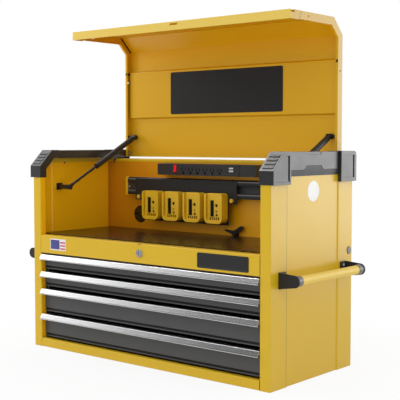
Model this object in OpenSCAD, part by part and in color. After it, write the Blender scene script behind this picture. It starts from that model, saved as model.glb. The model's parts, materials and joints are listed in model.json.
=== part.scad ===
// Steel drawer tool chest. Four drawers run on ball slides under an open till,
// and a lid on two end pins is held up by a pair of gas struts.
// Millimetres, +Z up, +X to the right, the front faces -Y,
// the origin is in the middle of the underside. The lid is drawn open.

/* [Steel body] */
// Width of the steel body
body_w = 914; // [800:1:1050]
// Depth of the steel body
body_d = 398; // [380:1:460]
// Height of the steel strip under the drawers
base_h = 27; // [20:1:45]
// Height of the rail with the lock, above the drawers
rail_h = 58; // [50:1:75]
// Height of the till, from its deck to the top of the caps
till_h = 264; // [250:1:310]
// Thickness of the steel sheet
sheet = 1.2; // [0.8:0.1:1.6]
// Width of a front post's face
post_w = 33; // [30:1:42]
// Depth of a front post's return
post_d = 20; // [14:1:24]
// Distance from the front to a side panel's first crease
crease_front = 73; // [68:1:90]
// Distance from the rear to a side panel's second crease
crease_rear = 74; // [66:1:78]
// How far a side panel's middle is set in
crease_step = 3; // [1:0.5:4]
// Depth of the closed chamber behind the till
chamber_d = 61; // [54:1:70]
// Height of the caps above the chamber's cover
cover_drop = 30; // [30:1:36]
// Height of the cover's front lip
cover_lip = 9; // [6:1:14]
// Width of a folded sheet edge
hem = 15; // [10:1:18]
// Inside radius of the folds in the sheet
fold_r = 1.2; // [0.6:0.1:2]
// Thickness of the deck mat
mat_t = 3; // [2:0.5:4]
// Clearance round the deck mat
mat_gap = 2; // [1:0.5:4]
// Width of the visible seams
seam = 0.4; // [0.3:0.1:0.8]

/* [Caps and top rails] */
// Wall of the plastic caps and rails
cap_wall = 2.5; // [2:0.1:3]
// Clearance between plastic trim and steel
trim_fit = 0.3; // [0.2:0.1:0.5]
// How far a cap stands out past the side
cap_out = 10.5; // [8:0.5:14]
// Height of a cap
cap_h = 85; // [80:1:100]
// Height of the skirt inside the till
skirt_h = 25; // [22:1:28]
// Radius on the rear top corner of a rear cap
rear_cap_r = 12; // [8:1:16]
// Number of ribs on a front cap's slope
rib_n = 4; // [2:1:5]
// Length of a wedge-shaped rib
rib_w = 12; // [8:0.5:13]
// Height of a rib's step
rib_h = 2.2; // [1:0.1:3]
// Thickness of the lip at a cap's open end
cap_lip = 1.2; // [0.8:0.1:2]
// Width of the raised frame on a cap's outer face
cap_frame = 11; // [9:0.5:13]
// Width of that frame along its open ends
cap_frame_end = 7; // [6:0.5:9]
// Depth of the panel inside that frame
cap_panel_d = 2; // [1:0.1:3]
// Width of the slot along the panel's rear edge
cap_slot_w = 4; // [3:0.5:6]
// Depth of that slot
cap_slot_d = 1.2; // [0.8:0.1:1.6]
// Height of a top rail's outer leg
rail_leg_h = 64; // [50:1:76]
// Height of the set-in band along that leg
rail_band_h = 16; // [10:1:20]
// Length of the raised stretch in that band
rail_jog_l = 72; // [40:1:120]
// Height by which that stretch is raised
rail_jog_h = 11; // [6:1:16]
// How far that stretch lies in front of the rail's middle
rail_jog_y = 4; // [0:1:12]
// Depth of the band
rail_band_d = 1.2; // [0.8:0.1:2]
// How far the band slants in towards its foot
rail_slant = 2.2; // [1:0.1:2.5]
// Height of the notch along the rail's top edge
rail_notch_h = 7; // [4:0.5:10]
// Thickness of a top rail's outer leg
rail_leg_t = 4.7; // [3:0.1:6]
// How far a top rail lies under the caps' tops
rail_drop = 1; // [0.5:0.5:3]

/* [Lid] */
// Gap between the lid and each front post
lid_gap = 4.5; // [4:0.5:7]
// Leg of the 45 degree slope along the lid's front
lid_slope = 46; // [38:1:54]
// Depth of the lid's side flanges
lid_flange = 23; // [21:0.5:28]
// Width of the lip along a side flange
lid_lip = 8.5; // [6:0.5:12]
// How far the lid reaches past the rear of the body
lid_over = 1; // [0:0.5:3]
// Gap between the closed lid and the lock rail
lid_foot = 2; // [1:0.5:4]
// Depth of the lid's front return
return_d = 25; // [20:1:27]
// Length of the tab at each end of the return, along the side flange
tab_l = 52; // [30:1:60]
// Length of the relief notch at that tab's corner
tab_notch_l = 19; // [10:1:24]
// Depth of that notch
tab_notch_d = 7.5; // [5:0.5:10]
// Distance of the pivot from the lid's top and rear edge
pivot_in = 12; // [10:0.5:13]
// Diameter of a hinge pin
pin_d = 8; // [6:0.5:8]
// Radial play of a hinge pin
pin_play = 0.05; // [0.03:0.01:0.08]
// Diameter of a hinge pin's head
pin_head_d = 14; // [11:0.5:15]
// Thickness of the hinge brackets
bracket_t = 3; // [2:0.5:4]
// Distance of the stiffener from the lid's rear edge
stiff_from = 132; // [110:1:150]
// Width of the stiffener's raised panel
stiff_w = 150; // [100:1:170]
// Height of the stiffener's raised panel
stiff_h = 10; // [6:0.5:14]
// Gap between the stiffener and the side flanges
stiff_gap = 11; // [10:0.5:30]
// Diameter of the holes in the side flanges
flange_hole_d = 6; // [4:0.5:8]

/* [Gas struts] */
// Distance of a strut's plane from the body's side
strut_in = 69; // [62:1:80]
// Distance of the lower pivot from the front
strut_low_y = 86; // [84:1:95]
// Height of the lower pivot above the deck
strut_low_z = 147; // [130:1:155]
// Distance of the upper pivot from the lid's pivot, along the lid
strut_up_s = 53; // [45:1:60]
// Distance of the upper pivot from the lid's outer face
strut_up_w = 15; // [14:0.5:15]
// Diameter of a strut's tube
tube_d = 18; // [15:0.5:20]
// Length of a strut's tube
tube_l = 190; // [170:1:200]
// Wall of a strut's tube
tube_wall = 2; // [1.5:0.1:2.5]
// Diameter of a strut's rod
rod_d = 8; // [6:0.5:9]
// Length of a strut's rod, from its pivot
rod_l = 165; // [160:1:180]
// Diameter of a strut's end sockets
socket_d = 16; // [14:0.5:18]
// Radial play of the rod in its gland
rod_play = 0.1; // [0.05:0.01:0.2]
// Gap between each lid stud and its strut socket
stud_gap = 0.3; // [0.3:0.1:0.6]
// Diameter of a lid stud
stud_d = 9; // [7:0.5:10]

/* [Drawers] */
// Height of each of the two upper drawers
shallow_h = 54; // [50:0.5:70]
// Height of each of the two lower drawers
deep_h = 79.5; // [70:0.5:110]
// How far the drawer fronts lie behind the posts' faces
front_recess = 15; // [12:0.5:18]
// Depth of a drawer's folded front
front_d = 18; // [14:1:22]
// Gap at each end of a drawer front
front_gap = 1.2; // [0.8:0.1:2]
// Gap under a drawer
foot_gap = 3.7; // [1:0.1:5]
// Gap above a drawer's pull
pull_gap = 3; // [0.4:0.1:4]
// Length of a drawer, from its front
tray_l = 348; // [330:1:350]
// Gap above a drawer's side walls
tray_drop = 8; // [6:0.5:12]
// Width of the folded edge along a drawer's walls
tray_hem = 6; // [4:0.5:10]
// Depth of the groove along a drawer front's foot
groove_d = 2.5; // [1.5:0.1:3.5]
// Height of the strip under that groove
strip_h = 6; // [5:0.5:9]
// Height of a pull's slanted face
pull_h = 17; // [14:0.5:20]
// How far a pull's top edge stands out from the drawer front
pull_top = 16; // [14:0.5:20]
// How far a pull's lower edge leans out past its top edge
pull_lean = 10; // [6:0.5:14]
// Thickness of a pull
pull_t = 2; // [1.5:0.1:2.5]
// Depth of the lip under a pull
pull_lip = 6; // [4:0.5:8]
// Thickness of a ball slide
slide_t = 12.7; // [12:0.1:14]
// Height of a ball slide
slide_h = 35; // [32:0.5:38]
// Length of a ball slide
slide_l = 328; // [300:1:330]
// Height of a slide's middle above its drawer's foot
slide_z = 24; // [22:0.5:28]
// Gap between the members of a slide
slide_gap = 0.4; // [0.3:0.05:0.5]
// Distance from the body's front to the slide carriers
carrier_from = 30; // [26:1:40]
// Length of the slide carriers
carrier_l = 330; // [326:1:340]

/* [Lock] */
// Height of the lock above the drawers
lock_up = 30.7; // [28:0.1:34]
// Diameter of the lock's bezel
bezel_d = 24.5; // [22:0.5:28]
// How far the bezel stands out
bezel_h = 4; // [2:0.5:6]
// Diameter of the lock's sleeve
sleeve_d = 19; // [18:0.5:20]
// Diameter of the turning cylinder
plug_d = 15; // [12:0.5:15]
// Width of the keyway
key_w = 2.4; // [1.5:0.1:3]
// Depth of the cam behind the rail's face
cam_y = 6.5; // [6:0.1:9]
// Thickness of the cam
cam_t = 2.5; // [2:0.1:3]
// Width of the cam's arm
cam_arm_w = 9; // [7:0.5:10]
// Width of the cam's curved hook
cam_hook_w = 4; // [3:0.5:4.5]
// Clearance of the cam in the slots that it passes
cam_gap = 1.5; // [1:0.1:2]
// Width of the notch over the lock
notch_w = 10; // [6:1:16]
// Depth of the notch over the lock
notch_h = 3; // [2:0.5:4]

/* [Side handles] */
// Height of the handles
handle_z = 286; // [200:1:320]
// Distance of a handle's axis from the side
handle_out = 49; // [44:1:75]
// Diameter of a handle's tube
grip_d = 25; // [22:0.5:28]
// Wall of a handle's tube
grip_wall = 2; // [1.5:0.1:3]
// Length of a handle between its brackets
grip_l = 320; // [280:1:326]
// Radius of a bracket's round end
ear_r = 16; // [15:0.5:18]
// Thickness of a bracket
ear_t = 4; // [3:0.5:5]
// Height of a bracket at the wall
ear_h = 43; // [38:1:50]
// Length of a bracket's foot along the wall
ear_foot = 29; // [22:1:30]
// Length of a ferrule
ferrule_l = 20; // [14:1:26]
// Wall of a ferrule
ferrule_t = 1.5; // [1:0.1:2]
// Radial play of a ferrule on its tube
ferrule_play = 0.1; // [0.05:0.01:0.2]

/* [Till fittings] */
// Length of the power strip
strip_w = 394; // [380:1:420]
// Height of the power strip
strip_t = 36; // [34:0.5:42]
// Depth of the power strip
strip_d = 38; // [30:1:44]
// Height of the power strip's foot above the deck
strip_up = 185; // [180:1:187]
// Distance from the strip's left end to its left seam
strip_cut_l = 55.5; // [40:0.5:58]
// Distance from the strip's right end to its right seam
strip_cut_r = 62.5; // [50:0.5:70]
// How far the strip's middle lies to the left of the body's middle
strip_shift = 6.5; // [0:0.5:12]
// Number of outlets
outlet_n = 6; // [2:1:6]
// Spacing of the outlets
outlet_pitch = 29; // [27:0.5:29]
// Place of the first outlet
outlet_x = -93; // [-95:1:-88]
// Width of the rocker
rocker_w = 9; // [7:0.5:11]
// Height of the rocker
rocker_h = 25; // [20:0.5:26]
// Turn of the rocker between its two positions
rocker_turn = 14; // [8:1:16]
// Gap round the rocker
rocker_gap = 0.6; // [0.4:0.1:0.8]
// Length of the tool rail
rail_w = 724; // [660:1:730]
// Length of the tool rail's left end that keeps only its rear web
rail_bare = 14; // [8:1:20]
// Height of the tool rail
tool_rail_h = 53; // [48:1:56]
// Depth of the tool rail
tool_rail_d = 19; // [17:0.5:20]
// Height of the tool rail's foot above the deck
tool_rail_up = 117; // [112:1:122]
// Height of each ridge of the tool rail
ridge_h = 14; // [12:0.5:16]
// How far the rail's backing channel stands off the wall
backing_d = 7; // [5:0.5:10]
// How far the backing channel reaches past the rail
backing_over = 14; // [6:1:18]
// Width of the accessory plate
plate_w = 420; // [390:1:440]
// Place of the accessory plate's left edge
plate_x = -310; // [-325:1:-305]
// Height of the accessory plate's upper part
plate_h = 70; // [68:1:74]
// Thickness of the accessory plate
plate_t = 2; // [1.5:0.1:2.5]
// Depth to which the plate hangs behind the battery holders
plate_hang = 66; // [50:1:68]
// Number of battery holders
holder_n = 4; // [1:1:4]
// Spacing of the battery holders
holder_pitch = 87; // [80:0.5:88]
// Width of a battery holder
holder_w = 70; // [62:1:76]
// Height of a battery holder
holder_h = 92; // [80:1:94]
// Depth of a battery holder
holder_d = 29; // [22:1:32]
// Radius of a battery holder's lower corners
holder_r = 17; // [12:0.5:20]
// Radius of a battery holder's upper corners
holder_top_r = 9; // [6:0.5:12]
// Width of a battery holder's rim
holder_rim = 7; // [5:0.5:9]
// Depth of a battery holder's recess
holder_recess = 7; // [6:0.5:16]
// Depth of a holder's guide grooves behind its rim
holder_groove = 3; // [2:0.5:4]
// Diameter of the cable grommet
grommet_d = 57; // [50:1:62]
// Place of the cable grommet
grommet_x = -314; // [-330:1:-300]
// Height of the cable grommet above the deck
grommet_up = 51; // [45:1:60]
// Diameter of the side hole's plug
plug_cap_d = 23; // [20:0.5:26]

/* [Hidden] */
$fn = 48;
fold_n = 4;
tight_r = 0.4;
hw = body_w / 2;
hd = body_d / 2;
post_x = hw - post_w;
wall_x = hw - crease_step - sheet;
wide_x = hw - sheet;
rear_y = hd - 2 * sheet;
deck_z = base_h + 2 * shallow_h + 2 * deep_h + rail_h;
open_z = deck_z - rail_h;
top_z = deck_z + till_h;
cover_z = top_z - cover_drop;
till_y = hd - chamber_d;
mid_y0 = -hd + crease_front + crease_step;
mid_y1 = hd - crease_rear - crease_step;
diagonal = sqrt(2) - 1;

cap_x0 = post_x - trim_fit - cap_wall;
cap_x1 = hw + cap_out;
cap_y0 = -hd - trim_fit - cap_wall;
cap_y1 = hd + trim_fit + cap_wall;
cap_z0 = top_z - cap_h;
cap_slope = lid_slope + trim_fit + cap_wall;
lip_x = hw - crease_step + cap_lip + trim_fit;
rail_top = top_z - rail_drop;
wall_top = rail_top - cap_wall - trim_fit;

lid_x = post_x - lid_gap;
lid_rear = hd + lid_over;
lid_z0 = deck_z + lid_foot;
pivot_y = lid_rear - pivot_in;
pivot_z = top_z - pivot_in;
bracket_in = 6;
bracket_x = cap_x0 + cap_wall + bracket_in;
bracket_l = 30;

strut_x = hw - strut_in;
low_y = -hd + strut_low_y;
low_z = deck_z + strut_low_z;
shut_y = pivot_y - strut_up_s;
shut_z = top_z - strut_up_w;
up_y = pivot_y + shut_z - pivot_z;
up_z = pivot_z + pivot_y - shut_y;
strut_l = norm([up_y - low_y, up_z - low_z]);
strut_a = atan2(up_z - low_z, up_y - low_y);
socket_w = tube_d;

drawer_hs = [shallow_h, shallow_h, deep_h, deep_h];
drawer_zs = [open_z - shallow_h, open_z - 2 * shallow_h, base_h + deep_h, base_h];
front_y = -hd + front_recess;
tray_x = post_x - slide_t;
slide_y = front_y + front_d + 1;
slide_lip = 9.5;

lock_z = open_z + lock_up;
cam_y0 = -hd + cam_y;
cam_r0 = deck_z + lid_foot + sheet - lock_z + 2.5;
cam_r1 = cam_r0 + cam_hook_w;
cam_arm_a = -100;
cam_tip_a = 30;
sleeve_play = 0.1;

handle_x = hw + handle_out;
strip_z = deck_z + strip_up;
strip_y = till_y - strip_d;
strip_end0 = -strip_w / 2 - strip_shift;
strip_end1 = strip_w / 2 - strip_shift;
strip_x0 = strip_end0 + strip_cut_l;
strip_x1 = strip_end1 - strip_cut_r;
rocker_in = 20;
rocker_x = strip_x0 + rocker_in;
rocker_z = strip_z + strip_t / 2 + 2;
rocker_axis_y = strip_y + 5;
rocker_pin_d = 3;
usb_in = 32;
usb_x = strip_x1 - usb_in;
usb_w = 16;
usb_h = 4.8;
usb_d = 6;
usb_zs = [strip_z + 16, strip_z + 24.5];

rail_z = deck_z + tool_rail_up;
rail_y1 = till_y - backing_d;
rail_y0 = rail_y1 - tool_rail_d;
plate_y0 = rail_y0 - plate_t;
plate_z1 = rail_z + tool_rail_h + plate_t;
plate_z0 = plate_z1 - plate_h;
screw_in = 17;
screw_up = 9;
holder_up = 5;
holder_end = 34;
holder_z = plate_z0 - plate_hang + holder_up;
holder_x = plate_x + plate_w - holder_end - (holder_n - 1) * holder_pitch - holder_w;
holder_y = plate_y0 - holder_d;

grommet_z = deck_z + grommet_up;
grommet_hole_d = grommet_d - 10;
cleat_x = 89;
plug_y = hd - 17;
plug_z = open_z + 40;
plug_hole_d = plug_cap_d - 5;
plug_play = 0.1;

yellow = [0.85, 0.66, 0.11];
charcoal = [0.29, 0.29, 0.3];
black = [0.13, 0.13, 0.14];
silver = [0.78, 0.79, 0.8];
zinc = [0.6, 0.61, 0.63];
red = [0.8, 0.1, 0.08];
white = [0.93, 0.93, 0.92];

// Folded sheet: a path in its plane gives one face, the sheet lies to its left,
// and r is the inside radius of its folds.
function unit(v) = v / norm(v);
function left(v) = [-v[1], v[0]];
function turned(v, a) = [v[0] * cos(a) - v[1] * sin(a), v[0] * sin(a) + v[1] * cos(a)];
function reversed(p) = [for (i = [len(p) - 1 : -1 : 0]) p[i]];
// The arc of fold i, at the distance d to the left of the path
function fold(p, i, t, r, d) =
    let (a = unit(p[i] - p[i - 1]),
         b = unit(p[i + 1] - p[i]),
         turn = atan2(a[0] * b[1] - a[1] * b[0], a * b),
         s = sign(turn),
         path_r = s > 0 ? r + t : r,
         centre = p[i] + s * path_r * (left(a) + left(b)) / (1 + a * b))
    [for (k = [0 : fold_n]) centre + (d - s * path_r) * left(turned(a, turn * k / fold_n))];
function folded_line(p, t, r, d) =
    let (last = len(p) - 1)
    concat([p[0] + d * left(unit(p[1] - p[0]))],
        [for (i = [1 : last - 1]) each fold(p, i, t, r, d)],
        [p[last] + d * left(unit(p[last] - p[last - 1]))]);
function bent(p, t, r = fold_r) =
    concat(folded_line(p, t, r, 0), reversed(folded_line(p, t, r, t)));

module along_x(x0, x1) {
    translate([x0, 0, 0]) rotate([90, 0, 90]) linear_extrude(x1 - x0) children();
}

module along_y(y0, y1) {
    translate([0, y1, 0]) rotate([90, 0, 0]) linear_extrude(y1 - y0) children();
}

module pin_x(x0, x1, d) {
    translate([x0, 0, 0]) rotate([0, 90, 0]) cylinder(d = d, h = x1 - x0);
}

module pin_y(y0, y1, d) {
    translate([0, y1, 0]) rotate([90, 0, 0]) cylinder(d = d, h = y1 - y0);
}

module box(x0, x1, y0, y1, z0, z1) {
    translate([x0, y0, z0]) cube([x1 - x0, y1 - y0, z1 - z0]);
}

module left_side() {
    mirror([1, 0, 0]) children();
}

module both_sides() {
    children();
    left_side() children();
}

module rounded(w, h, r) {
    square([w - 2 * r, h], center = true);
    square([w, h - 2 * r], center = true);
    for (x = [-1, 1], z = [-1, 1]) translate([x * (w / 2 - r), z * (h / 2 - r)]) circle(r);
}

// Outline of the caps' 45 degree nose, inset by d from their outer faces
function nose(d) = [[cap_y0 + d, top_z - cap_slope - d * diagonal],
                    [cap_y0 + cap_slope + d * diagonal, top_z - d]];

// Steel body
side_path = [[post_x, -hd + post_d], [post_x, -hd], [hw, -hd], [hw, -hd + crease_front],
    [hw - crease_step, mid_y0], [hw - crease_step, mid_y1], [hw, hd - crease_rear],
    [hw, hd], [hw - hem, hd]];

module side_panel() {
    front = nose(trim_fit + cap_wall);
    color(yellow) intersection() {
        linear_extrude(wall_top) polygon(bent(side_path, sheet));
        along_x(0, hw + 1)
            polygon([[-hd - 1, -1], front[0] - [1, 1], front[1], [hd - rear_cap_r + 2, top_z],
                [hd + 1, top_z - rear_cap_r + 1], [hd + 1, -1]]);
    }
}

module side_panel_left() {
    left_side() side_panel();
}

module side_panel_right() {
    difference() {
        side_panel();
        translate([0, plug_y, plug_z]) pin_x(hw - 2 * sheet, hw + 1, plug_hole_d);
    }
}

module rear_panel() {
    x = wide_x - fold_r;
    color(yellow) box(-x, x, rear_y, rear_y + sheet, sheet, cover_z - sheet);
}

module bottom_pan() {
    path = [[-hd + hem, base_h], [-hd, base_h], [-hd, 0], [rear_y, 0], [rear_y, hem]];
    color(yellow) {
        along_x(-post_x + seam, post_x - seam) polygon(bent(path, sheet));
        both_sides() box(post_x - seam - 1, wall_x, -hd + post_d + seam, rear_y, 0, sheet);
    }
}

module front_rail() {
    path = [[-hd + 2 * post_d, deck_z], [-hd, deck_z], [-hd, open_z], [-hd + post_d, open_z]];
    slot_x = sqrt(cam_r1 * cam_r1 - pow(deck_z - sheet - lock_z, 2));
    color(yellow) difference() {
        along_x(-post_x + seam, post_x - seam) polygon(bent(path, sheet));
        translate([0, 0, lock_z]) pin_y(-hd - 1, -hd + sheet + 1, sleeve_d + 2 * sleeve_play);
        box(-notch_w / 2, notch_w / 2, -hd - 1, -hd + sheet + 1, deck_z - notch_h, deck_z + 1);
        box(-cam_arm_w / 2 - cam_gap, slot_x + cam_gap, cam_y0 - cam_gap, cam_y0 + cam_t + cam_gap,
            deck_z - 2 * sheet, deck_z + 1);
    }
}

module deck_panel() {
    color(yellow) difference() {
        box(-wall_x, wall_x, -hd + post_d + seam, rear_y, deck_z - sheet, deck_z);
        box(-post_x - seam, post_x + seam, -hd, -hd + 2 * post_d, deck_z - 2 * sheet, deck_z + 1);
    }
}

module deck_mat() {
    color(black) box(-wall_x + mat_gap, wall_x - mat_gap, -hd + return_d + mat_gap,
        till_y - mat_gap, deck_z, deck_z + mat_t);
}

module till_back() {
    path = [[till_y + hem, cover_z - sheet], [till_y, cover_z - sheet], [till_y, deck_z],
        [till_y + hem, deck_z]];
    color(yellow) difference() {
        along_x(-wide_x, wide_x) polygon(bent(path, sheet));
        translate([grommet_x, 0, grommet_z]) pin_y(till_y - 1, till_y + sheet + 1, grommet_hole_d);
    }
}

module rear_cover() {
    path = [[rear_y, cover_z - hem], [rear_y, cover_z], [till_y - sheet, cover_z],
        [till_y - sheet, cover_z - cover_lip]];
    color(yellow) along_x(-wide_x, wide_x) polygon(bent(path, sheet));
}

module slide_carriers() {
    y0 = -hd + carrier_from;
    path = [[wide_x, y0 + carrier_l], [post_x, y0 + carrier_l], [post_x, y0], [wide_x, y0]];
    color(zinc) both_sides() translate([0, 0, sheet])
        linear_extrude(open_z + hem) polygon(bent(path, sheet));
}

// Ball slides: a cabinet channel, a middle member and a drawer channel, one inside the other
module at_slide(i) {
    translate([0, 0, drawer_zs[i] + slide_z]) both_sides()
        along_y(slide_y, slide_y + slide_l) children();
}

module cabinet_slides() {
    z = slide_h / 2;
    path = [[post_x - slide_lip, -z], [post_x, -z], [post_x, z], [post_x - slide_lip, z]];
    color(zinc) for (i = [0 : 3]) at_slide(i) polygon(bent(path, sheet, tight_r));
}

module middle_slides(i) {
    z = slide_h / 2 - sheet - slide_gap;
    x1 = post_x - sheet - slide_gap;
    x0 = post_x - slide_lip;
    web = x0 + slide_lip / 2 - 0.6;
    color(zinc) at_slide(i) {
        translate([x0, z - sheet]) square([x1 - x0, sheet]);
        translate([x0, -z]) square([x1 - x0, sheet]);
        translate([web, -z + sheet / 2]) square([sheet, 2 * z - sheet]);
    }
}

module drawer_slides(i) {
    z = slide_h / 2 - 2 * sheet - 2 * slide_gap;
    lip = slide_t - slide_lip / 2 - sheet - 0.8;
    path = [[tray_x + lip, z], [tray_x, z], [tray_x, -z], [tray_x + lip, -z]];
    color(zinc) at_slide(i) polygon(bent(path, sheet, tight_r));
}

// Drawers
module drawer(i) {
    z0 = drawer_zs[i] + foot_gap;
    z1 = drawer_zs[i] + drawer_hs[i] - pull_gap - pull_t;
    y0 = front_y + front_d;
    y1 = front_y + tray_l;
    side_z = drawer_zs[i] + drawer_hs[i] - tray_drop;
    half = post_x - front_gap;
    inner_drop = 5;
    front = [[y0, z1 - 2 * inner_drop], [y0, z1], [front_y, z1], [front_y, z0 + strip_h + 2 * groove_d],
        [front_y + groove_d, z0 + strip_h + groove_d], [front_y + groove_d, z0 + strip_h],
        [front_y, z0 + strip_h], [front_y, z0], [y0, z0]];
    wall = [[tray_x - tray_hem, side_z], [tray_x, side_z], [tray_x, z0 + sheet / 2]];
    color(charcoal) {
        along_x(-half, half) polygon(bent(front, sheet, tight_r));
        box(-tray_x, tray_x, y0 - 1, y1, z0, z0 + sheet);
        both_sides() along_y(y0 - sheet, y1) polygon(bent(reversed(wall), sheet, tight_r));
        box(-tray_x, tray_x, y1 - sheet, y1, z0, side_z);
        box(-tray_x, tray_x, y0 - sheet, y0, z0, z1 - inner_drop);
    }
}

module pull(i) {
    z = drawer_zs[i] + drawer_hs[i] - pull_gap;
    top_y = front_y - pull_top;
    foot_y = top_y - pull_lean;
    half = post_x - front_gap;
    lap = 6;
    tab_h = pull_h - 4;
    path = [[front_y + lap, z], [top_y, z], [foot_y, z - pull_h], [foot_y + pull_lip, z - pull_h]];
    color(silver) along_x(-half, half) {
        polygon(bent(path, pull_t, tight_r));
        translate([front_y - pull_t, z - tab_h]) square([pull_t, tab_h - pull_t / 2]);
    }
}

// Plastic trim
module front_cap_outline(d, y1, z0) {
    polygon(concat([[cap_y0 + d, z0]], nose(d), [[y1, top_z - d], [y1, z0]]));
}

// The slot along the rear edge y of a cap's set-in panel
module cap_slot(y) {
    x = cap_x1 - cap_panel_d;
    box(x - cap_slot_d, x + 1, y - cap_slot_w, y, cap_z0 + cap_frame, top_z - cap_frame);
}

module front_cap() {
    y1 = mid_y0;
    panel_y = y1 - cap_frame_end;
    rib_step = cap_slope * sqrt(2) / (rib_n + 1);
    color(black) difference() {
        union() {
            along_x(cap_x0, cap_x1) front_cap_outline(0, y1, cap_z0);
            for (i = [1 : rib_n])
                translate([0, nose(0)[0][0], nose(0)[0][1]]) rotate([45, 0, 0])
                    along_x(cap_x0 + cap_frame_end, cap_x1 - cap_frame_end)
                        translate([rib_step * i - rib_w / 2, 0])
                            polygon([[0, -1], [0, rib_h], [rib_w, 0], [rib_w, -1]]);
        }
        along_x(cap_x0 + cap_wall, lip_x) front_cap_outline(cap_wall, y1 + 1, cap_z0 - 1);
        along_x(cap_x0 + cap_wall, cap_x1 - cap_wall - cap_panel_d)
            front_cap_outline(cap_wall, y1 - cap_lip, cap_z0 - 1);
        along_x(cap_x0 - 1, cap_x0 + cap_wall + 1)
            front_cap_outline(skirt_h, y1 + 1, cap_z0 - 1);
        along_x(cap_x1 - cap_panel_d, cap_x1 + 1)
            front_cap_outline(cap_frame, panel_y, cap_z0 + cap_frame_end);
        cap_slot(panel_y);
    }
}

module rear_cap_outline(d, y0, z0) {
    r = rear_cap_r - d;
    polygon([[y0, z0], [cap_y1 - d, z0], [cap_y1 - d, top_z - rear_cap_r],
        [cap_y1 - rear_cap_r, top_z - d], [y0, top_z - d]]);
    translate([cap_y1 - rear_cap_r, top_z - rear_cap_r]) circle(r);
}

module rear_cap() {
    y0 = mid_y1;
    panel_y = cap_y1 - cap_frame;
    gusset = 14;
    steep = 1.5;
    color(black) difference() {
        along_x(cap_x0, cap_x1) rear_cap_outline(0, y0, cap_z0);
        along_x(cap_x0 + cap_wall, lip_x) rear_cap_outline(cap_wall, y0 - 1, cap_z0 - 1);
        along_x(cap_x0 + cap_wall, cap_x1 - cap_wall - cap_panel_d)
            rear_cap_outline(cap_wall, y0 + cap_lip, cap_z0 - 1);
        along_x(cap_x0 - 1, cap_x0 + cap_wall + 1)
            polygon([[y0 - 1, cap_z0 - 1], [cap_y1 + 1, cap_z0 - 1], [cap_y1 + 1, top_z - skirt_h],
                [y0 + gusset, top_z - skirt_h], [y0 - 1, top_z - skirt_h - steep * (gusset + 1)]]);
        translate([0, pivot_y, pivot_z]) pin_x(cap_x0 - 1, cap_x0 + cap_wall + 1, pin_d + 1);
        box(cap_x1 - cap_panel_d, cap_x1 + 1, y0 + cap_frame_end, panel_y,
            cap_z0 + cap_frame, top_z - cap_frame);
        cap_slot(panel_y);
    }
}

module front_cap_left() {
    left_side() front_cap();
}

module front_cap_right() {
    front_cap();
}

module rear_cap_left() {
    left_side() rear_cap();
}

module rear_cap_right() {
    rear_cap();
}

module top_rails() {
    x0 = cap_x0 + cap_wall;
    x1 = hw - crease_step + trim_fit;
    z0 = rail_top - rail_leg_h;
    band_x = x1 + rail_leg_t - rail_band_d;
    band_z = z0 + rail_band_h;
    jog = rail_jog_l / 2;
    path = [[x0, rail_top - skirt_h], [x0 + cap_wall, rail_top - skirt_h],
        [x0 + cap_wall, rail_top - cap_wall], [x1, rail_top - cap_wall], [x1, z0],
        [x1 + rail_leg_t, z0], [x1 + rail_leg_t, rail_top], [x0, rail_top]];
    color(black) both_sides() difference() {
        along_y(mid_y0 + seam, mid_y1 - seam) polygon(path);
        along_y(mid_y0, mid_y1)
            polygon([[band_x, band_z], [band_x - rail_slant, z0], [band_x + rail_leg_t, z0 - 1],
                [band_x + rail_leg_t, band_z]]);
        along_x(band_x, band_x + rail_leg_t) {
            translate([mid_y0, z0 - 1]) square([mid_y1 - mid_y0, rail_band_h + 1]);
            translate([-rail_jog_y, band_z])
                polygon([[-jog - rail_jog_h, -1], [jog + rail_jog_h, -1], [jog + rail_jog_h, 0],
                    [jog, rail_jog_h], [-jog, rail_jog_h], [-jog - rail_jog_h, 0]]);
            translate([-rail_jog_y - jog, rail_top - rail_notch_h])
                square([rail_jog_l, rail_notch_h + 1]);
        }
    }
}

// Side handles
module handle_tube() {
    translate([handle_x, 0, handle_z]) difference() {
        pin_y(-grip_l / 2, grip_l / 2, grip_d);
        pin_y(-grip_l / 2 - 1, grip_l / 2 + 1, grip_d - 2 * grip_wall);
    }
}

module handle_tube_left() {
    color(yellow) left_side() handle_tube();
}

module handle_tube_right() {
    color(yellow) handle_tube();
}

module handle_bracket() {
    y0 = grip_l / 2;
    over = 4;
    foot_z = handle_z + ear_r + over - ear_h;
    along_y(y0, y0 + ear_t) {
        polygon([[hw, foot_z], [handle_x, handle_z - ear_r], [handle_x, handle_z + ear_r],
            [hw, foot_z + ear_h]]);
        translate([handle_x, handle_z]) circle(ear_r);
    }
    box(hw, hw + ear_t, y0 + ear_t - ear_foot, y0 + ear_t, foot_z, foot_z + ear_h);
}

module handle_brackets() {
    color(black) both_sides() {
        handle_bracket();
        mirror([0, 1, 0]) handle_bracket();
    }
}

module handle_ferrules() {
    d = grip_d + 2 * ferrule_play;
    color(zinc) both_sides() for (y = [-grip_l / 2, grip_l / 2 - ferrule_l])
        translate([handle_x, 0, handle_z]) difference() {
            pin_y(y, y + ferrule_l, d + 2 * ferrule_t);
            pin_y(y - 1, y + ferrule_l + 1, d);
        }
}

// Power strip
module strip_body(x0, x1) {
    corner = 2.5;
    translate([0, 0, strip_z + strip_t / 2]) along_y(strip_y, till_y)
        translate([(x0 + x1) / 2, 0]) rounded(x1 - x0, strip_t, corner);
}

module outlet() {
    slot_x = 6.35;
    slot_t = 2;
    slot_h = 8;
    pin_hole = 5;
    pin_drop = 6;
    for (x = [-slot_x, slot_x]) translate([x - slot_t / 2, 0]) square([slot_t, slot_h]);
    translate([0, -pin_drop]) circle(d = pin_hole);
}

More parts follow.
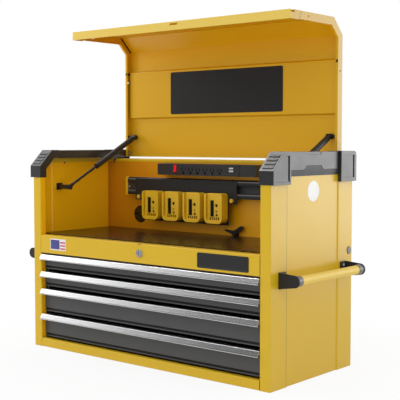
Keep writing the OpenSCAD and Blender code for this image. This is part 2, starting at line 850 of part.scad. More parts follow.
module power_strip() {
    outlet_z = strip_z + 14;
    outlet_depth = 8;
    rocker_depth = 14;
    color(black) difference() {
        strip_body(strip_x0, strip_x1);
        for (i = [0 : outlet_n - 1])
            translate([outlet_x + i * outlet_pitch, 0, outlet_z])
                along_y(strip_y - 1, strip_y + outlet_depth) outlet();
        box(rocker_x - rocker_w / 2 - rocker_gap, rocker_x + rocker_w / 2 + rocker_gap,
            strip_y - 1, strip_y + rocker_depth, rocker_z - rocker_h / 2 - rocker_gap,
            rocker_z + rocker_h / 2 + rocker_gap);
        translate([0, rocker_axis_y, rocker_z])
            pin_x(rocker_x - rocker_w, rocker_x + rocker_w, rocker_pin_d + 2 * pin_play);
        for (z = usb_zs) box(usb_x - usb_w / 2, usb_x + usb_w / 2, strip_y - 1, strip_y + usb_d,
            z - usb_h / 2, z + usb_h / 2);
    }
}

module strip_ends() {
    color(black) {
        strip_body(strip_end0, strip_x0 - seam);
        strip_body(strip_x1 + seam, strip_end1);
    }
}

module power_switch() {
    t = tan(rocker_turn / 2);
    reach = rocker_h / 2 - 1;
    face = strip_y - rocker_axis_y - 1;
    back = 5;
    pin_half = rocker_w / 2 + 3;
    color(red) translate([0, rocker_axis_y, rocker_z]) rotate([-rocker_turn / 2, 0, 0]) {
        along_x(rocker_x - rocker_w / 2, rocker_x + rocker_w / 2)
            polygon([[face, 0], [face - t * reach, reach], [back, reach - 2], [back, -reach + 2],
                [face - t * reach, -reach]]);
        pin_x(rocker_x - pin_half, rocker_x + pin_half, rocker_pin_d);
    }
}

module usb_ports() {
    wall = 1;
    out = 0.5;
    color(white) for (z = usb_zs) difference() {
        box(usb_x - usb_w / 2, usb_x + usb_w / 2, strip_y - out, strip_y + usb_d,
            z - usb_h / 2, z + usb_h / 2);
        box(usb_x - usb_w / 2 + wall, usb_x + usb_w / 2 - wall, strip_y - 1,
            strip_y + usb_d - 2 * wall, z, z + usb_h / 2 - wall);
    }
}

// Tool rail and what hangs on it
module tool_rail() {
    web = 3;
    wall = 2.4;
    lip = wall + 3;
    edge_r = fold_r + 0.8;
    slot_h = tool_rail_h - 2 * ridge_h;
    x0 = -rail_w / 2;
    color(black) difference() {
        along_x(x0, rail_w / 2) translate([rail_y0, rail_z]) difference() {
            translate([tool_rail_d, tool_rail_h] / 2) rounded(tool_rail_d, tool_rail_h, edge_r);
            translate([-1, ridge_h]) square([tool_rail_d - web + 1, slot_h]);
            translate([lip, ridge_h - wall]) square([tool_rail_d - web - lip, slot_h + 2 * wall]);
            for (z = [wall, tool_rail_h - ridge_h + 2 * wall])
                translate([wall, z]) square([tool_rail_d - 2 * wall, ridge_h - 3 * wall]);
        }
        box(x0 - 1, x0 + rail_bare, rail_y0 - 1, rail_y1 - web, rail_z - 1, rail_z + tool_rail_h + 1);
    }
}

module rail_backing() {
    x = rail_w / 2 + backing_over;
    lap = 4;
    path = [[till_y, rail_z + tool_rail_h + lap], [rail_y1, rail_z + tool_rail_h + lap],
        [rail_y1, rail_z - lap], [till_y, rail_z - lap]];
    color(yellow) along_x(-x, x) polygon(bent(path, sheet));
}

module accessory_plate() {
    x1 = plate_x + plate_w;
    low_x0 = holder_x - 6;
    low_x1 = x1 - holder_end + 3;
    hook_y = rail_y1 - 3;
    hole_d = 5;
    hook = [[hook_y, plate_z1], [plate_y0, plate_z1], [plate_y0, plate_z0 - 1]];
    color(black) difference() {
        union() {
            along_x(plate_x, x1) polygon(bent(hook, plate_t));
            box(low_x0, low_x1, plate_y0, plate_y0 + plate_t, plate_z0 - plate_hang, plate_z0);
        }
        for (x = [plate_x + screw_in, x1 - screw_in]) translate([x, 0, plate_z0 + screw_up])
            pin_y(plate_y0 - 1, plate_y0 + plate_t + 1, hole_d);
    }
}

// A plate outline with lower corners of radius r and upper corners of radius c
module holder_outline(w, h, r, c) {
    translate([r, 0]) square([w - 2 * r, h - c]);
    translate([0, r]) square([w, h - r - c]);
    translate([c, r]) square([w - 2 * c, h - r]);
    for (x = [r, w - r]) translate([x, r]) circle(r);
    for (x = [c, w - c]) translate([x, h - c]) circle(c);
}

module battery_holder() {
    in_w = holder_w - 2 * holder_rim;
    in_h = holder_h - holder_rim;
    in_r = holder_r - holder_rim;
    floor_y = holder_recess + 6;
    latch_x = holder_w / 2 + 8;
    vent_n = 5;
    vent_w = 4;
    difference() {
        along_y(0, holder_d) holder_outline(holder_w, holder_h, holder_r, holder_top_r);
        along_y(-1, holder_recess) translate([holder_rim, holder_rim]) {
            holder_outline(in_w, in_h, in_r, 1);
            translate([0, in_r]) square([in_w, in_h - in_r + 1]);
        }
        translate([holder_rim - holder_groove, holder_recess / 2, holder_r])
            cube([in_w + 2 * holder_groove, holder_recess / 2, holder_h]);
        translate([holder_w / 2 - 14, -1, holder_rim + 14]) cube([10, floor_y + 2, 50]);
        translate([latch_x, 0, holder_rim + 48]) pin_y(-1, floor_y, 10);
        translate([latch_x, 0, holder_rim + 30]) pin_y(-1, floor_y, 5);
        translate([latch_x - 3, -1, holder_rim + 16]) cube([8, floor_y, 6]);
        for (i = [0 : vent_n - 1])
            translate([holder_w / 2 + (2 * i - vent_n + 0.5) * vent_w, -1, holder_rim + 5])
                cube([vent_w, floor_y - 2, 6]);
    }
}

module battery_holders() {
    color(yellow) for (i = [0 : holder_n - 1])
        translate([holder_x + i * holder_pitch, holder_y, holder_z]) battery_holder();
}

module plate_screws() {
    head_d = 13;
    head_h = 6;
    shank_d = 4.8;
    shank_l = 8;
    color(yellow) for (x = [plate_x + screw_in, plate_x + plate_w - screw_in])
        translate([x, 0, plate_z0 + screw_up]) {
            pin_y(plate_y0 - head_h, plate_y0, head_d);
            pin_y(plate_y0 - 1, plate_y0 + plate_t + shank_l, shank_d);
        }
}

module cable_grommet() {
    flange_h = 4;
    taper = 5;
    slit_w = grommet_d - 18;
    slit_h = 1.6;
    color(black) translate([grommet_x, 0, grommet_z]) difference() {
        union() {
            translate([0, till_y, 0]) rotate([90, 0, 0])
                cylinder(d1 = grommet_d, d2 = grommet_d - taper, h = flange_h);
            pin_y(till_y - 1, till_y + sheet + 3, grommet_hole_d);
        }
        box(-slit_w / 2, slit_w / 2, till_y - flange_h - 1, till_y + sheet + 4,
            -slit_h / 2, slit_h / 2);
    }
}

// A bar in its plane from a to b that tapers from radius ra to a round tip of radius rb
module horn(a, b, ra, rb) {
    n = left(unit(b - a));
    polygon([a - n * ra, b - n * rb, b + n * rb, a + n * ra]);
    translate(b) circle(rb);
}

module cord_cleat() {
    foot_w = 18;
    foot_h = 16;
    foot_d = 8;
    horn_d = 9;
    root_r = 6;
    root = [0, foot_h / 2];
    color(black) translate([cleat_x, till_y, deck_z + mat_t + 1]) {
        box(-foot_w / 2, foot_w / 2, -foot_d, 0, 0, foot_h);
        along_y(-foot_d - horn_d, -foot_d) {
            translate(root) circle(root_r + 1);
            horn(root, [-32, 16], root_r, root_r / 3);
            horn(root, [28, 25], root_r, root_r);
        }
    }
}

module hole_plug() {
    dome_h = 2.5;
    taper = 4;
    color(zinc) translate([0, plug_y, plug_z]) {
        translate([hw, 0, 0]) rotate([0, 90, 0])
            cylinder(d1 = plug_cap_d, d2 = plug_cap_d - taper, h = dome_h);
        pin_x(hw - sheet - 3, hw + 1, plug_hole_d - 2 * plug_play);
    }
}

// Lock
module at_lock() {
    translate([0, 0, lock_z]) children();
}

module lock_barrel() {
    bore = plug_d + 2 * pin_play;
    taper = 3;
    nut_t = 3;
    color(silver) at_lock() difference() {
        union() {
            translate([0, -hd, 0]) rotate([90, 0, 0])
                cylinder(d1 = bezel_d, d2 = bezel_d - taper, h = bezel_h);
            pin_y(-hd - 1, cam_y0 - trim_fit, sleeve_d);
            pin_y(-hd + sheet, -hd + sheet + nut_t, bezel_d);
        }
        pin_y(-hd - bezel_h - 1, cam_y0 + 1, bore);
    }
}

module lock_cylinder() {
    key_depth = 4;
    color(zinc) at_lock() difference() {
        pin_y(-hd - bezel_h + 0.5, cam_y0 + cam_t + 3, plug_d);
        box(-key_w / 2, key_w / 2, -hd - bezel_h - 1, -hd - bezel_h + key_depth,
            -plug_d / 3, plug_d / 3);
    }
}

// A ring sector in the lock's plane, from angle a to angle b, measured clockwise from up
module hook_sector(r0, r1, a, b) {
    rotate([0, 0, 90 - b]) rotate_extrude(angle = b - a)
        translate([r0, 0]) square([r1 - r0, cam_t]);
}

module lock_cam() {
    hub_d = plug_d + 8;
    root_a = cam_arm_a - 8;
    color(zinc) at_lock() left_side() difference() {
        translate([0, cam_y0 + cam_t, 0]) rotate([90, 0, 0]) {
            cylinder(d = hub_d, h = cam_t);
            rotate([0, 0, -cam_arm_a]) translate([-cam_arm_w / 2, 0, 0])
                cube([cam_arm_w, cam_r0 + 1, cam_t]);
            hook_sector(cam_r0, cam_r1, root_a, cam_arm_a + cam_tip_a);
        }
        pin_y(cam_y0 - 1, cam_y0 + cam_t + 1, plug_d);
    }
}

// Lid, drawn shut and then opened about its pivot
module opened() {
    translate([0, pivot_y, pivot_z]) rotate([-90, 0, 0])
        translate([0, -pivot_y, -pivot_z]) children();
}

// The lid's outline from its rear edge to its front edge, inset by d
function lid_line(d) = [[lid_rear, top_z - d],
    [-hd + lid_slope + d * diagonal, top_z - d],
    [-hd + d, top_z - lid_slope - d * diagonal],
    [-hd + d, lid_z0]];

module lid_flange_side() {
    along_x(lid_x - sheet, lid_x)
        polygon(concat(lid_line(0), reversed(lid_line(lid_flange))));
    along_x(lid_x - lid_lip, lid_x) polygon(bent(lid_line(lid_flange - sheet), sheet));
}

module lid_shell() {
    skin = concat([[lid_rear, top_z - pivot_in]], lid_line(0));
    slot_x = sqrt(cam_r1 * cam_r1 - pow(lid_z0 - lock_z, 2));
    tab_slant = 11;
    hole_from = 250;
    hole_up = 87;
    color(yellow) opened() difference() {
        union() {
            along_x(-lid_x, lid_x) polygon(bent(skin, sheet));
            both_sides() lid_flange_side();
            box(-lid_x, lid_x, -hd, -hd + return_d, lid_z0, lid_z0 + sheet);
            both_sides() along_x(lid_x - sheet / 2, lid_x + sheet) translate([-hd, lid_z0])
                polygon([[0, 0], [return_d, 0], [return_d, tab_l - tab_slant], [0, tab_l]]);
        }
        box(-cam_arm_w / 2 - cam_gap, slot_x + cam_gap, cam_y0 - cam_gap, cam_y0 + cam_t + cam_gap,
            lid_z0 - 1, lid_z0 + sheet + 1);
        both_sides() {
            box(lid_x - tab_notch_d, lid_x + 2 * sheet, -hd - 1, -hd + tab_notch_d,
                lid_z0 + sheet, lid_z0 + tab_notch_l);
            translate([0, pivot_y, pivot_z])
                pin_x(lid_x - 2 * sheet, lid_x + 1, pin_d + 2 * pin_play);
            translate([0, lid_rear - hole_from, top_z - lid_flange / 2])
                pin_x(lid_x - 2 * sheet, lid_x + 1, flange_hole_d);
            translate([0, -hd + lid_flange / 2, lid_z0 + hole_up])
                pin_x(lid_x - 2 * sheet, lid_x + 1, flange_hole_d);
        }
    }
}

module lid_stiffener() {
    x = lid_x - sheet - stiff_gap;
    z = top_z - sheet;
    y1 = lid_rear - stiff_from;
    y0 = y1 - stiff_w;
    slant = 4;
    path = [[y1 + hem, z], [y1 + slant, z], [y1, z - stiff_h], [y0, z - stiff_h],
        [y0 - slant, z], [y0 - hem, z]];
    color(yellow) opened() along_x(-x, x) polygon(bent(path, sheet));
}

module lid_studs() {
    collar_t = 4;
    collar_d = stud_d + 3;
    color(zinc) opened() both_sides() translate([0, shut_y, shut_z]) {
        pin_x(lid_x - sheet - collar_t, lid_x - sheet, collar_d);
        pin_x(strut_x + socket_w / 2 + stud_gap, lid_x - sheet - 1, stud_d);
    }
}

module hinge_brackets() {
    z0 = cover_z + bracket_t;
    path = [[bracket_x, wall_top - 1], [bracket_x, z0], [wide_x, z0], [wide_x, wall_top - 1]];
    y1 = pivot_y + pin_d;
    head_x = lid_x - 2 * sheet - 2;
    head_t = 4;
    color(zinc) both_sides() {
        along_y(y1 - bracket_l, y1) polygon(bent(path, bracket_t));
        translate([0, pivot_y, pivot_z]) {
            pin_x(head_x - 1, bracket_x + 1, pin_d);
            pin_x(head_x - head_t, head_x, pin_head_d);
        }
    }
}

// Gas struts, drawn along +Y and tilted about the lower pivot
module at_strut() {
    translate([strut_x, low_y, low_z]) rotate([strut_a, 0, 0]) children();
}

module strut_rod() {
    neck_l = socket_d + 4;
    neck_d = rod_d + 3;
    piston_l = 8;
    color(silver) at_strut() difference() {
        union() {
            pin_x(-socket_w / 2, socket_w / 2, socket_d);
            pin_y(0, neck_l, neck_d);
            pin_y(0, rod_l, rod_d);
            pin_y(rod_l - piston_l, rod_l, tube_d - 2 * tube_wall - 2 * rod_play);
        }
        pin_x(-socket_w / 2 - 1, socket_w / 2 + 1, pin_d + 2 * pin_play);
    }
}

module strut_tube() {
    neck_l = 4;
    y1 = strut_l - socket_d / 2 - neck_l;
    y0 = y1 - tube_l;
    end = 8;
    color(black) at_strut() difference() {
        union() {
            pin_y(y0, y1, tube_d);
            pin_y(y1 - 1, strut_l, socket_d - neck_l);
            translate([0, strut_l, 0]) pin_x(-socket_w / 2, socket_w / 2, socket_d);
        }
        pin_y(y0 + end, y1 - end, tube_d - 2 * tube_wall);
        pin_y(y0 - 1, y0 + end + 1, rod_d + 2 * rod_play);
    }
}

module strut_rod_left() {
    left_side() strut_rod();
}

module strut_rod_right() {
    strut_rod();
}

module strut_tube_left() {
    left_side() strut_tube();
}

module strut_tube_right() {
    strut_tube();
}

module strut_brackets() {
    arm_x = strut_x + socket_w / 2 + stud_gap;
    foot_x = wall_x - bracket_t;
    foot_y = mid_y0 + 15;
    foot_l = 22;
    foot_h = 22;
    arm_h = 13;
    arm_l = 16;
    color(black) both_sides() {
        translate([0, 0, low_z - arm_h / 2]) linear_extrude(arm_h)
            polygon([[arm_x, low_y - arm_l / 2], [foot_x, foot_y + 5],
                [foot_x, foot_y + foot_l - 5], [arm_x, low_y + arm_l / 2]]);
        box(foot_x - 0.5, wall_x, foot_y, foot_y + foot_l, low_z - foot_h / 2, low_z + foot_h / 2);
        translate([0, low_y, low_z]) pin_x(strut_x - socket_w / 2, arm_x + 1, pin_d);
    }
}

side_panel_left();
side_panel_right();
rear_panel();
bottom_pan();
front_rail();
deck_panel();
deck_mat();
till_back();
rear_cover();
slide_carriers();
cabinet_slides();
front_cap_left();
front_cap_right();
rear_cap_left();
rear_cap_right();
top_rails();
handle_tube_left();
handle_tube_right();
handle_brackets();
handle_ferrules();
power_strip();
strip_ends();
power_switch();
usb_ports();
tool_rail();
rail_backing();
accessory_plate();
battery_holders();
plate_screws();
cable_grommet();
cord_cleat();
hole_plug();
lock_barrel();
lock_cylinder();
lock_cam();
hinge_brackets();
strut_brackets();
lid_shell();
lid_stiffener();
lid_studs();
strut_rod_left();
strut_rod_right();
strut_tube_left();
strut_tube_right();
drawer(0);  // drawer_1
drawer(1);  // drawer_2
drawer(2);  // drawer_3
drawer(3);  // drawer_4
pull(0);  // pull_1
pull(1);  // pull_2
pull(2);  // pull_3
pull(3);  // pull_4
drawer_slides(0);  // drawer_slides_1
drawer_slides(1);  // drawer_slides_2
drawer_slides(2);  // drawer_slides_3
drawer_slides(3);  // drawer_slides_4
middle_slides(0);  // middle_slides_1
middle_slides(1);  // middle_slides_2
middle_slides(2);  // middle_slides_3
middle_slides(3);  // middle_slides_4
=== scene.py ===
# %% [markdown]
# # A drawer tool chest
# This lesson dresses a steel tool chest whose solids were drawn in CAD. The solids come in as a fixed frame
# in metres, with the origin in the middle of the flat underside, the front towards -Y and the right side
# towards +X. Each solid already follows its moving body, such as a drawer or the lid. Here they get their
# paint, plastic and metal, their softened edges, and the thin pieces that were too small for the solids.

# %% Load the chest
import json
from math import radians

import bmesh
import bpy
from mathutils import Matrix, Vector

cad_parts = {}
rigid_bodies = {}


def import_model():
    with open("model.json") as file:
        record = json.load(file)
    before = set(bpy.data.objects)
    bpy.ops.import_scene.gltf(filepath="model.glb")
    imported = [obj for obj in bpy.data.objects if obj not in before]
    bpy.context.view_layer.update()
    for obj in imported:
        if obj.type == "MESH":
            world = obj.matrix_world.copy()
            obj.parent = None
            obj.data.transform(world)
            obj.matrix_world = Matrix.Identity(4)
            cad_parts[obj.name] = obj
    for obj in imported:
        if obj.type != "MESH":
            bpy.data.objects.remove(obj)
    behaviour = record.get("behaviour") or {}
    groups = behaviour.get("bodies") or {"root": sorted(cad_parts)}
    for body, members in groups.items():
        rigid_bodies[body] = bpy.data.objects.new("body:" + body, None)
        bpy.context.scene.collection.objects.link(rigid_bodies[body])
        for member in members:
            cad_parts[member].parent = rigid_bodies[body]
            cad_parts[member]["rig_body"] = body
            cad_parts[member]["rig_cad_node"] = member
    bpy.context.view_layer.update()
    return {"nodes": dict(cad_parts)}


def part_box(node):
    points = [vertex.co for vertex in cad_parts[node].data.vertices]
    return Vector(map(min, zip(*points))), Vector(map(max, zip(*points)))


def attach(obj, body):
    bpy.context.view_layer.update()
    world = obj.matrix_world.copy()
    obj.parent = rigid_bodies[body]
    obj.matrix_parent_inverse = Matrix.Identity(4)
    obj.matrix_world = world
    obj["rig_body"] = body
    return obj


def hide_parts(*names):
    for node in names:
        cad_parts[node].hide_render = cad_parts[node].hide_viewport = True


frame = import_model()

mm = 0.001
chest = frame["nodes"]

# %% [markdown]
# ## The camera
# The picture was taken from about forty degrees to the right of the front and a little above the drawers.
# Its straight edges give the lens and the place of the camera by least squares, so the camera is set by
# numbers. Aiming it by eye would leave every edge a little off.

# %% Place the camera
scene = bpy.context.scene
scene.view_settings.view_transform = "Standard"
bpy.ops.object.camera_add(location=(1.8525, -2.1476, 0.638), rotation=(radians(86.561), 0, radians(39.88)))
camera = bpy.context.active_object
camera.data.sensor_width = 36
camera.data.lens = 85.35
scene.camera = camera
print("camera lens", camera.data.lens)

# %% [markdown]
# ## Wires
# A material in Blender is a web of nodes, and every sum in it is a Math node that has to be linked. A small
# class can stand for one output of a node and take over Python's signs, so that a sum is written as a sum. It
# was chosen because the finishes below then read like formulas.

# %% Wiring for materials
class Wire:
    """One output of a node. Wires add, subtract, multiply and compare like numbers."""

    def __init__(self, finish, socket):
        self.finish = finish
        self.socket = socket

    def reckon(self, operation, first, second):
        return self.finish.node("ShaderNodeMath", {"operation": operation}, {0: first, 1: second})

    def __add__(self, other):
        return self.reckon("ADD", self, other)

    def __radd__(self, other):
        return self.reckon("ADD", other, self)

    def __sub__(self, other):
        return self.reckon("SUBTRACT", self, other)

    def __rsub__(self, other):
        return self.reckon("SUBTRACT", other, self)

    def __mul__(self, other):
        return self.reckon("MULTIPLY", self, other)

    def __rmul__(self, other):
        return self.reckon("MULTIPLY", other, self)

    def __lt__(self, other):
        return self.reckon("LESS_THAN", self, other)

    def __gt__(self, other):
        return self.reckon("GREATER_THAN", self, other)

    def __mod__(self, other):
        return self.reckon("FLOORED_MODULO", self, other)

    def __abs__(self):
        return self.reckon("ABSOLUTE", self, 0.0)


class Finish:
    """A node tree that is filled by one method."""

    def __init__(self, owner):
        owner.use_nodes = True
        self.owner = owner
        self.tree = owner.node_tree
        self.tree.nodes.clear()

    def node(self, kind, settings=None, sockets=None, output=0):
        made = self.tree.nodes.new(kind)
        for name, value in (settings or {}).items():
            setattr(made, name, value)
        for key, value in (sockets or {}).items():
            if isinstance(value, Wire):
                self.tree.links.new(value.socket, made.inputs[key])
            else:
                made.inputs[key].default_value = value
        return Wire(self, made.outputs[output]) if made.outputs else None


print("wires can be added and multiplied")

# %% [markdown]
# ## The studio
# Product pictures like this one are taken on a white sweep inside a tent of white cloth, so most of the light
# comes from all round, and the sky does that here. One lamp at the upper left models the front. Three more
# are seen only in reflections: one above the first whitens the left ends of the pulls, one behind the right
# side gives the wall its pale sheen, and one overhead lifts the slopes of the corner caps. A black card at
# the left front keeps dark faces dark, as a photographer does with a black flag, and its edge gives the
# metal pulls their fall from white to grey.

# %% Sky
def seen_directly(finish):
    """One for rays from the camera and for those that a mirror or a glass sends on."""
    rays = ("Is Camera Ray", "Is Glossy Ray", "Is Transmission Ray")
    straight, mirrored, through = (finish.node("ShaderNodeLightPath", output=ray) for ray in rays)
    return straight + mirrored + through


scene.world = bpy.data.worlds.new("studio_sky")
sky = Finish(scene.world)
soft_sky = sky.node("ShaderNodeBackground", sockets={"Color": (1, 1, 1, 1), "Strength": 0.95})
white_sky = sky.node("ShaderNodeBackground", sockets={"Color": (1, 1, 1, 1), "Strength": 1.0})
both = sky.node("ShaderNodeMixShader", sockets={0: seen_directly(sky), 1: soft_sky, 2: white_sky})
sky.node("ShaderNodeOutputWorld", sockets={"Surface": both})
print("sky:", scene.world.name)

# %% [markdown]
# ### The floor
# A white sweep has no horizon. The floor glows white where the camera or a mirror sees it, a little less
# close to the chest, so that a faint shadow holds the chest to the ground. For all other light it is matt.

# %% Floor
bpy.ops.mesh.primitive_plane_add(size=14, location=(0, 0, -0.0005))
floor = bpy.context.active_object
floor.name = "studio_floor"
pale = Finish(bpy.data.materials.new("pale_floor"))
from_chest = pale.node("ShaderNodeVectorMath", {"operation": "LENGTH"}, {
    0: pale.node("ShaderNodeTexCoord", output="Object")}, output="Value")
fade = pale.node("ShaderNodeClamp", sockets={"Value": 0.80 + 0.2 * from_chest, "Min": 0.0, "Max": 1.0})
matt = pale.node("ShaderNodeBsdfDiffuse", sockets={"Color": (0.86, 0.86, 0.86, 1)})
glow = pale.node("ShaderNodeEmission", sockets={"Color": (1, 1, 1, 1), "Strength": 1.0})
both = pale.node("ShaderNodeMixShader", sockets={0: seen_directly(pale) * fade, 1: matt, 2: glow})
pale.node("ShaderNodeOutputMaterial", sockets={"Surface": both})
floor.data.materials.append(pale.owner)
print("floor is", floor.dimensions.x, "m wide")

# %% [markdown]
# ### Lamps and flag
# A softbox is an area lamp that is turned to its aim. Each lamp has one task, so it is hidden from the rays
# that belong to another lamp.

# %% Lamps
def softbox(name, place, aim, size, watts):
    bpy.ops.object.light_add(type="AREA", location=place)
    lamp = bpy.context.active_object
    lamp.name = name
    lamp.rotation_euler = (Vector(aim) - Vector(place)).to_track_quat("-Z", "Y").to_euler()
    lamp.data.shape = "RECTANGLE"
    lamp.data.size, lamp.data.size_y = size
    lamp.data.energy = watts
    lamp.visible_camera = False
    return lamp


left_lamp = softbox("left_lamp", (-3.3, -1.5, 1.9), (0, 0, 0.4), (1.3, 1.8), 36)
left_lamp.visible_glossy = False
edge_lamp = softbox("edge_lamp", (-3.3, -1.1, 2.55), (0, 0, 0.4), (1.3, 1.8), 19)
sheen_lamp = softbox("sheen_lamp", (2.2, 2.5, 0.7), (0.4, 0, 0.4), (2.2, 1.8), 48)
top_lamp = softbox("top_lamp", (-1.0, -0.4, 2.3), (0.2, 0, 0.5), (1.1, 1.1), 26)
for lamp in (edge_lamp, sheen_lamp, top_lamp):
    lamp.visible_diffuse = False
print("lamps:", [lamp.name for lamp in (left_lamp, edge_lamp, sheen_lamp, top_lamp)])

# %% Black flag
flag_turn = (radians(90), 0, radians(-15))
bpy.ops.mesh.primitive_plane_add(size=1, location=(-1.45, -3.15, 2.7), rotation=flag_turn)
flag = bpy.context.active_object
flag.name = "black_flag"
flag.scale = (4.0, 5.6, 1)
felt = Finish(bpy.data.materials.new("black_felt"))
cloth = felt.node("ShaderNodeBsdfDiffuse", sockets={"Color": (0.01, 0.01, 0.01, 1)})
felt.node("ShaderNodeOutputMaterial", sockets={"Surface": cloth})
flag.data.materials.append(felt.owner)
flag.visible_camera = flag.visible_diffuse = flag.visible_shadow = flag.visible_transmission = False
print("flag:", flag.name)

# %% [markdown]
# ## Finishes
# Each finish is one function named for what is on the real chest. They share a few habits. A pattern reads
# Object coordinates, so its grain has a real size in metres. The Bevel node rounds the corners in the
# shading, as paint and moulding do. The difference between that rounded normal and the true one marks the
# edges, where a coat is thinner or rubbed.

# %% Shared parts of a finish
def srgb(red, green, blue):
    """A colour as a picture program gives it, from 0 to 255, made linear for the shader."""
    def linear(c):
        c /= 255
        return c / 12.92 if c <= 0.04045 else ((c + 0.055) / 1.055) ** 2.4
    return (linear(red), linear(green), linear(blue), 1)


class Coat(Finish):
    """A surface finish with one Principled shader."""

    def __init__(self, name):
        super().__init__(bpy.data.materials.new(name))
        self.place = self.node("ShaderNodeTexCoord", output="Object")

    def spot(self, axes):
        return [self.node("ShaderNodeSeparateXYZ", sockets={0: self.place}, output=axis) for axis in axes]

    def stretched(self, x, y, z):
        return self.node("ShaderNodeMapping", sockets={"Vector": self.place, "Scale": (x, y, z)})

    def noise(self, scale, detail=2.0, vector=None, roughness=0.5):
        return self.node("ShaderNodeTexNoise", sockets={
            "Vector": vector or self.place, "Scale": scale, "Detail": detail, "Roughness": roughness})

    def mixed(self, share, first, second):
        return self.node("ShaderNodeMix", {"data_type": "RGBA"}, {0: share, 6: first, 7: second}, output=2)

    def rounded(self, radius):
        return self.node("ShaderNodeBevel", {"samples": 4}, {"Radius": radius})

    def edges(self, rounded, gain):
        true = self.node("ShaderNodeNewGeometry", output="Normal")
        match = self.node("ShaderNodeVectorMath", {"operation": "DOT_PRODUCT"}, {
            0: rounded, 1: true}, output="Value")
        return self.node("ShaderNodeClamp", sockets={"Value": (1 - match) * gain, "Min": 0.0, "Max": 1.0})

    def bumped(self, height, depth, strength, rounded):
        return self.node("ShaderNodeBump", sockets={
            "Height": height, "Distance": depth, "Strength": strength, "Normal": rounded})

    def shade(self, **sockets):
        plain = {name.replace("_", " "): value for name, value in sockets.items()}
        shader = self.node("ShaderNodeBsdfPrincipled", sockets=plain)
        self.node("ShaderNodeOutputMaterial", sockets={"Surface": shader})
        return self.owner


print("yellow as light:", [round(c, 3) for c in srgb(220, 180, 28)])

# %% [markdown]
# ### Painted light and shade on the yellow
# The yellow isn't the same all over, and its tones are painted light and shade. It is painted deeper in the
# till and inside the lid, where light bounces from wall to wall, darker on the till's back wall and on the
# lid's flanges, and paler on the lid's front return. Thin lines of painted shade mark where one sheet ends
# on another. Each such place is a mask: a product of comparisons on a point's coordinates, which is one
# inside the place and zero outside. A painted picture would do it too, but a mask needs no unwrapping and
# can be read as lengths in metres. The painted light and shade are part of the paint, so they stay when a
# lamp or the lid moves.

# %% Painted light and shade in the till and on the lid
till_top = 0.576
till_rear = 0.1965
lid_foot = 0.60
lid_half = 0.4189
flange_half = 0.4192
return_y = -0.0612
slope_sum = 1.1442


def off_middle(coat):
    """How far a point lies from the middle, with the step of the side panels' creases taken out."""
    x, y = coat.spot("XY")
    step = coat.node("ShaderNodeClamp", sockets={"Value": abs(y + 0.0005) - 0.1225, "Min": 0.0, "Max": 0.003})
    return abs(x) - step


def painted_till_bounce(coat):
    """The faces that look into the till, painted deeper for the light that bounces from wall to wall."""
    x, y, z = coat.spot("XYZ")
    walls = (z < till_top) * (z > 0.03) * (off_middle(coat) < 0.4534) * (y > -0.1975) * (y < till_rear)
    front_strips = (z < 0.36) * (y < -0.17) * (abs(x) < 0.4225)
    return walls * (1 - front_strips)


def painted_till_back_shade(coat):
    """The till's rear wall, with painted shade that is deeper towards the left."""
    x, y, z = coat.spot("XYZ")
    share = coat.node("ShaderNodeClamp", sockets={"Value": 0.60 - 1.3 * x, "Min": 0.15, "Max": 1.0})
    return share * (z < till_top) * (z > 0.34) * (abs(x) < 0.4565) * (y > 0.128) * (y < till_rear)


def painted_lid_bounce(coat):
    """The open lid's inside, up to the inner face of its slope, painted deeper for bounced light."""
    x, y, z = coat.spot("XYZ")
    panel = (z > lid_foot) * (abs(x) < lid_half) * (y > return_y) * (y < 0.1994)
    return panel * (z < 0.9904) * (y + z < slope_sum)


def painted_lid_slope_shade(coat):
    """Painted shade on the lid's inside, deeper towards its slope."""
    [z] = coat.spot("Z")
    share = coat.node("ShaderNodeClamp", sockets={"Value": 18 * (z - 0.888), "Min": 0.0, "Max": 1.0})
    return painted_lid_bounce(coat) * share


def painted_return_sheen(coat):
    """The lid's front return, which faces the lamps, with a painted sheen that makes it paler."""
    y, z = coat.spot("YZ")
    return (z > 0.96) * (y < return_y)


def painted_flange_shade(coat):
    """The outer faces of the lid's side flanges, painted darker, a painted shade that dims their sheen."""
    x, z = coat.spot("XZ")
    return (z > lid_foot) * (abs(x) > flange_half)


print("the till ends at", till_top, "m and the lid begins at", lid_foot, "m")

# %% Painted shade where sheets meet
post_half = 0.4240
rail_front = -0.1900
lip_inner = 0.4125


def painted_seam_shade(coat):
    """Painted shade where sheets meet: creases, corner tabs, the lid's lips, and the rail's ends and hem."""
    x, y, z = coat.spot("XYZ")
    crease = (abs(x) > 0.4562) * (abs(x) < 0.4575) * (y > -0.1274) * (y < -0.1256)
    beside_rails = ((z < 0.0275) + (z > 0.2966)) * (z < 0.3525)
    post = (abs(abs(x) - post_half) < 0.0007) * (y < rail_front) * beside_rails
    tab = (abs(y + 0.0210 - 0.44 * (z - 0.966)) < 0.0020) * (abs(x) > flange_half) * (z > 0.9)
    on_lip = (abs(x) > lip_inner) * (abs(x) < lid_half)
    slope = (y + z > 1.1415) * (y + z < slope_sum) * on_lip * (z > 0.9)
    notch = (z > 0.8660) * (z < 0.8745) * on_lip * (y > 0.15)
    hem = (z > 0.2930) * (z < 0.2966) * (abs(x) < 0.4236) * (y < rail_front)
    return crease + post + tab + slope + notch + hem


def painted_groove_shade(coat):
    """Painted shade in the groove along the foot of a drawer's front."""
    [y] = coat.spot("Y")
    return (y > -0.1839) * (y < -0.1805)


print("lines at the posts x =", post_half, "and at the lid's lips x =", lip_inner)

# %% Painted light and shade on the tool rail
web_low, web_high = 0.4830, 0.5080


def rail_gap(coat):
    """The shadow line between the tool rail and the channel behind it."""
    x, z = coat.spot("XZ")
    return (z > 0.5205) * (z < 0.5258) * (x > -0.362)


def painted_web_light(coat):
    """The flat web between the two ridges, painted lighter where the light falls on it."""
    [z] = coat.spot("Z")
    return (z > web_low) * (z < web_high)


